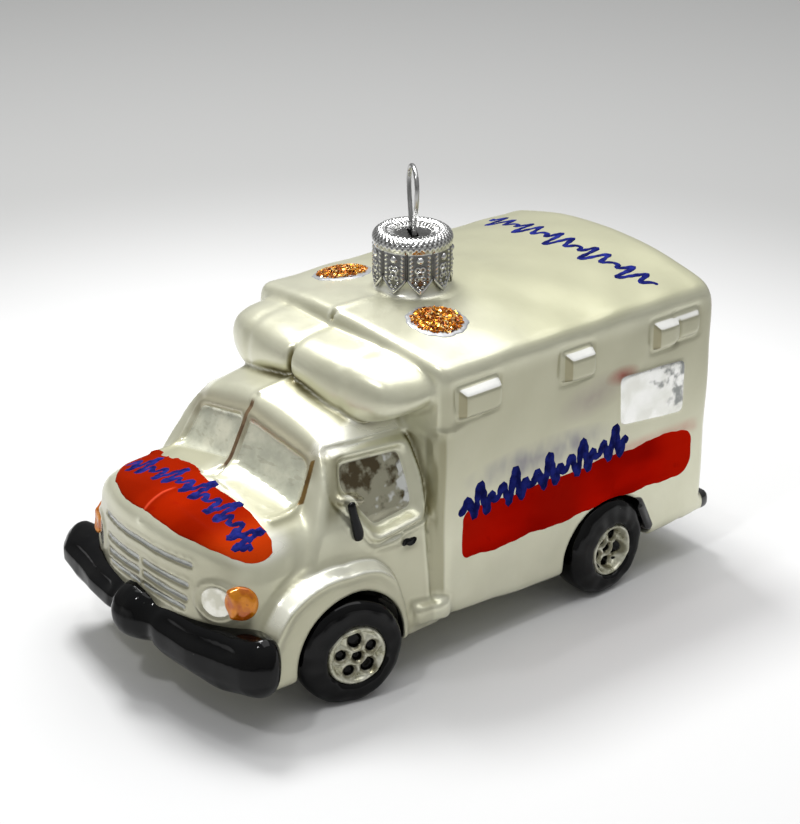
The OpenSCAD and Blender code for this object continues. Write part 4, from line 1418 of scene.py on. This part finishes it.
# Door mirrors and handles.
rng = np.random.default_rng(5)
parts = []
v, f = tube(smooth_path([(22.3, -26.3, 34.3), (22.5, -26.1, 33.0), (22.7, -25.5, 30.5), (22.7, -25.0, 28.6),
                         (22.6, -24.9, 27.6)], 0.35), 1.0, 20)
waist = 0.86 + 0.14 * np.cos((v[:, 2] - 28.6) * 0.8)
ends = np.sqrt(np.clip(1 - (np.abs(v[:, 2] - 30.9) / 3.75) ** 6, 0.0, 1.0))
mid_y = np.interp(v[:, 2], [27.6, 28.6, 30.5, 33.0, 34.3], [-24.9, -25.0, -25.5, -26.1, -26.3])
v[:, 0] = 22.6 + (v[:, 0] - 22.6) * 0.62 * (0.4 + 0.6 * ends)
v[:, 1] = mid_y + (v[:, 1] - mid_y) * waist * (0.4 + 0.6 * ends)
parts.append(mirrored(v, f))
for route, wide, high in (
        ([(22.9, -15.9, 23.5), (22.9, -14.9, 23.9), (22.9, -14.0, 23.4), (22.9, -12.8, 23.9)], 1.25, 0.4),
        ([(2.3, 54.6, 24.6), (2.1, 54.6, 26.2), (2.4, 54.6, 27.8), (2.2, 54.6, 29.2)], 1.2, 0.35)):
    parts.append(mirrored(*brush_stroke(shell_field, smooth_path(route, 0.25), wide, high, rng)))
finish_piece(mesh_object("mirrors_and_handles", *join_parts(parts)), black)

# Painted pulse lines where the real ornament has hand lettering.
BEAT_LENGTH, BEAT_HEIGHT = 6.9, 6.6
BEAT = [(0.0, 2.2), (0.8, 2.3), (1.5, 4.0), (2.3, 2.0), (2.9, 0.4), (4.0, BEAT_HEIGHT), (5.1, -0.3),
        (5.9, 3.6), (6.6, 2.2)]


def pulse(beats, length, height):
    """A heartbeat trace: (along, up) points from 0 to length."""
    pts = [(-0.3, 2.2)]
    for k in range(beats):
        pts += [(t + BEAT_LENGTH * k, h) for t, h in BEAT]
    total = BEAT_LENGTH * beats
    return [(t * length / total, h * height / BEAT_HEIGHT) for t, h in pts]


parts = []
side_line = [(BOX_X + 0.2, -5.6 + t, 23.6 + h + 0.035 * t) for t, h in pulse(5, 38.8, 9.6)]
for mirror in (1, -1):
    line = [(mirror * a, b, c) for a, b, c in side_line]
    parts.append(brush_stroke(shell_field, smooth_path(line, 0.35), 1.6, 0.22, rng))
hood_line = [(-16.2 + t, -46.6 + h + 0.03 * t - 2.0 * ((t - 17.0) / 17.0) ** 2 * (t > 17),
              34.2 - 0.12 * abs(-16.0 + t)) for t, h in pulse(5, 36.4, 9.8)]
parts.append(brush_stroke(shell_field, smooth_path(hood_line, 0.35), 1.65, 0.2, rng))
roof_line = [(21.5 - t, 45.6 - h - 2.4 * (1 - ((t - 21.5) / 21.5) ** 2), 56.0)
             for t, h in pulse(5, 43.0, 9.6)]
parts.append(brush_stroke(shell_field, smooth_path(roof_line, 0.35), 1.1, 0.16, rng))
finish_piece(mesh_object("blue_pulse_lines", *join_parts(parts)), blue_material())

# Glitter lights, cap and wire.
ring_mat, flake_mat = ring_material(), flake_material()
for name, seed in (("left", 21), ("right", 22)):
    disc, flakes = glitter_light(name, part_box("roof_light_" + name), shell_field, seed)
    finish_piece(disc, ring_mat)
    finish_piece(flakes, flake_mat, "roof_light_" + name, slot="glitter")
finish_piece(cap_object(), cap_material(), "cap", body="cap_body", slot="cap_metal")
finish_piece(wire_object(), wire_material(), "hanger_wire", body="hanger", slot="wire")

# --------------------------------------------------------------------- camera
AZ, EL, ROLL = math.radians(50.1247), math.radians(24.7018), math.radians(0.2831)
TARGET = np.array([-0.378, 2.751, 33.786])
DIST = 414.46
back = np.array([math.sin(AZ) * math.cos(EL), -math.cos(AZ) * math.cos(EL), math.sin(EL)])
right = np.array([math.cos(AZ), math.sin(AZ), 0.0])
up = np.cross(back, right)
r2 = math.cos(ROLL) * right + math.sin(ROLL) * up
u2 = -math.sin(ROLL) * right + math.cos(ROLL) * up
cam_data = bpy.data.cameras.new("camera")
cam_data.sensor_width = 36.0
cam_data.lens = 36.0 * 2400.0 / 824.0
cam_data.clip_start, cam_data.clip_end = 0.01, 20.0
cam = bpy.data.objects.new("camera", cam_data)
pos = (TARGET + back * DIST) * MM
cam.matrix_world = Matrix([[r2[0], u2[0], back[0], pos[0]], [r2[1], u2[1], back[1], pos[1]],
                           [r2[2], u2[2], back[2], pos[2]], [0, 0, 0, 1]])
bpy.context.scene.collection.objects.link(cam)
bpy.context.scene.camera = cam

# ---------------------------------------------------------------- floor, light
scene = bpy.context.scene
scene.view_settings.view_transform = "Standard"
FLOOR = 4000
floor = mesh_object("floor", [(-FLOOR, -FLOOR, 0), (FLOOR, -FLOOR, 0), (FLOOR, FLOOR, 0), (-FLOOR, FLOOR, 0)],
                    [[0, 1, 2, 3]])
fm = Mat("floor_paper")
fm.set(specular_ior_level=0.1)
# Painted pool of light: the floor is lighter near the ornament and greyer farther out.
away = reach((fm.x, 0.0, 1.0), (fm.y, 0.0, 1.0)) + (fm.noise(60.0, 2) - 0.5) * 6.0
paper_and_light_pool = fm.mix(away.step(105.0, 235.0), (0.66, 0.66, 0.66), (0.39, 0.39, 0.385))
floor.data.materials.append(fm.done(paper_and_light_pool, 0.7))

world = bpy.data.worlds.new("studio")
scene.world = world
world.use_nodes = True
wt = world.node_tree
wc = wt.nodes.new("ShaderNodeTexCoord")
ws = wt.nodes.new("ShaderNodeSeparateXYZ")
wt.links.new(wc.outputs["Generated"], ws.inputs[0])
wr = wt.nodes.new("ShaderNodeValToRGB")
wr.color_ramp.elements[0].position, wr.color_ramp.elements[0].color = 0.05, (0.3, 0.3, 0.295, 1)
wr.color_ramp.elements[1].position, wr.color_ramp.elements[1].color = 0.75, (0.45, 0.455, 0.46, 1)
wt.links.new(ws.outputs[2], wr.inputs[0])
wt.links.new(wr.outputs[0], wt.nodes["Background"].inputs[0])
wt.nodes["Background"].inputs[1].default_value = 1.0


def area(name, loc, target, size, power, color=(1, 1, 1)):
    li = bpy.data.lights.new(name, "AREA")
    li.shape = "RECTANGLE"
    li.size, li.size_y = size[0] * MM, size[1] * MM
    li.energy = power
    li.color = color
    ob = bpy.data.objects.new(name, li)
    d = Vector(target) - Vector(loc)
    ob.rotation_euler = d.to_track_quat("-Z", "Y").to_euler()
    ob.location = Vector(loc) * MM
    scene.collection.objects.link(ob)
    return ob


area("panel", (-40, 140, 470), (-40, 140, 0), (520, 480), 1.5)
area("key", (-200, 40, 440), (0, 0, 20), (130, 130), 1.55)
area("window_spark", (70, -260, 420), (0, 0, 20), (30, 42), 0.36)
area("ceiling_spark", (-60, -60, 460), (0, 0, 20), (30, 18), 0.14)
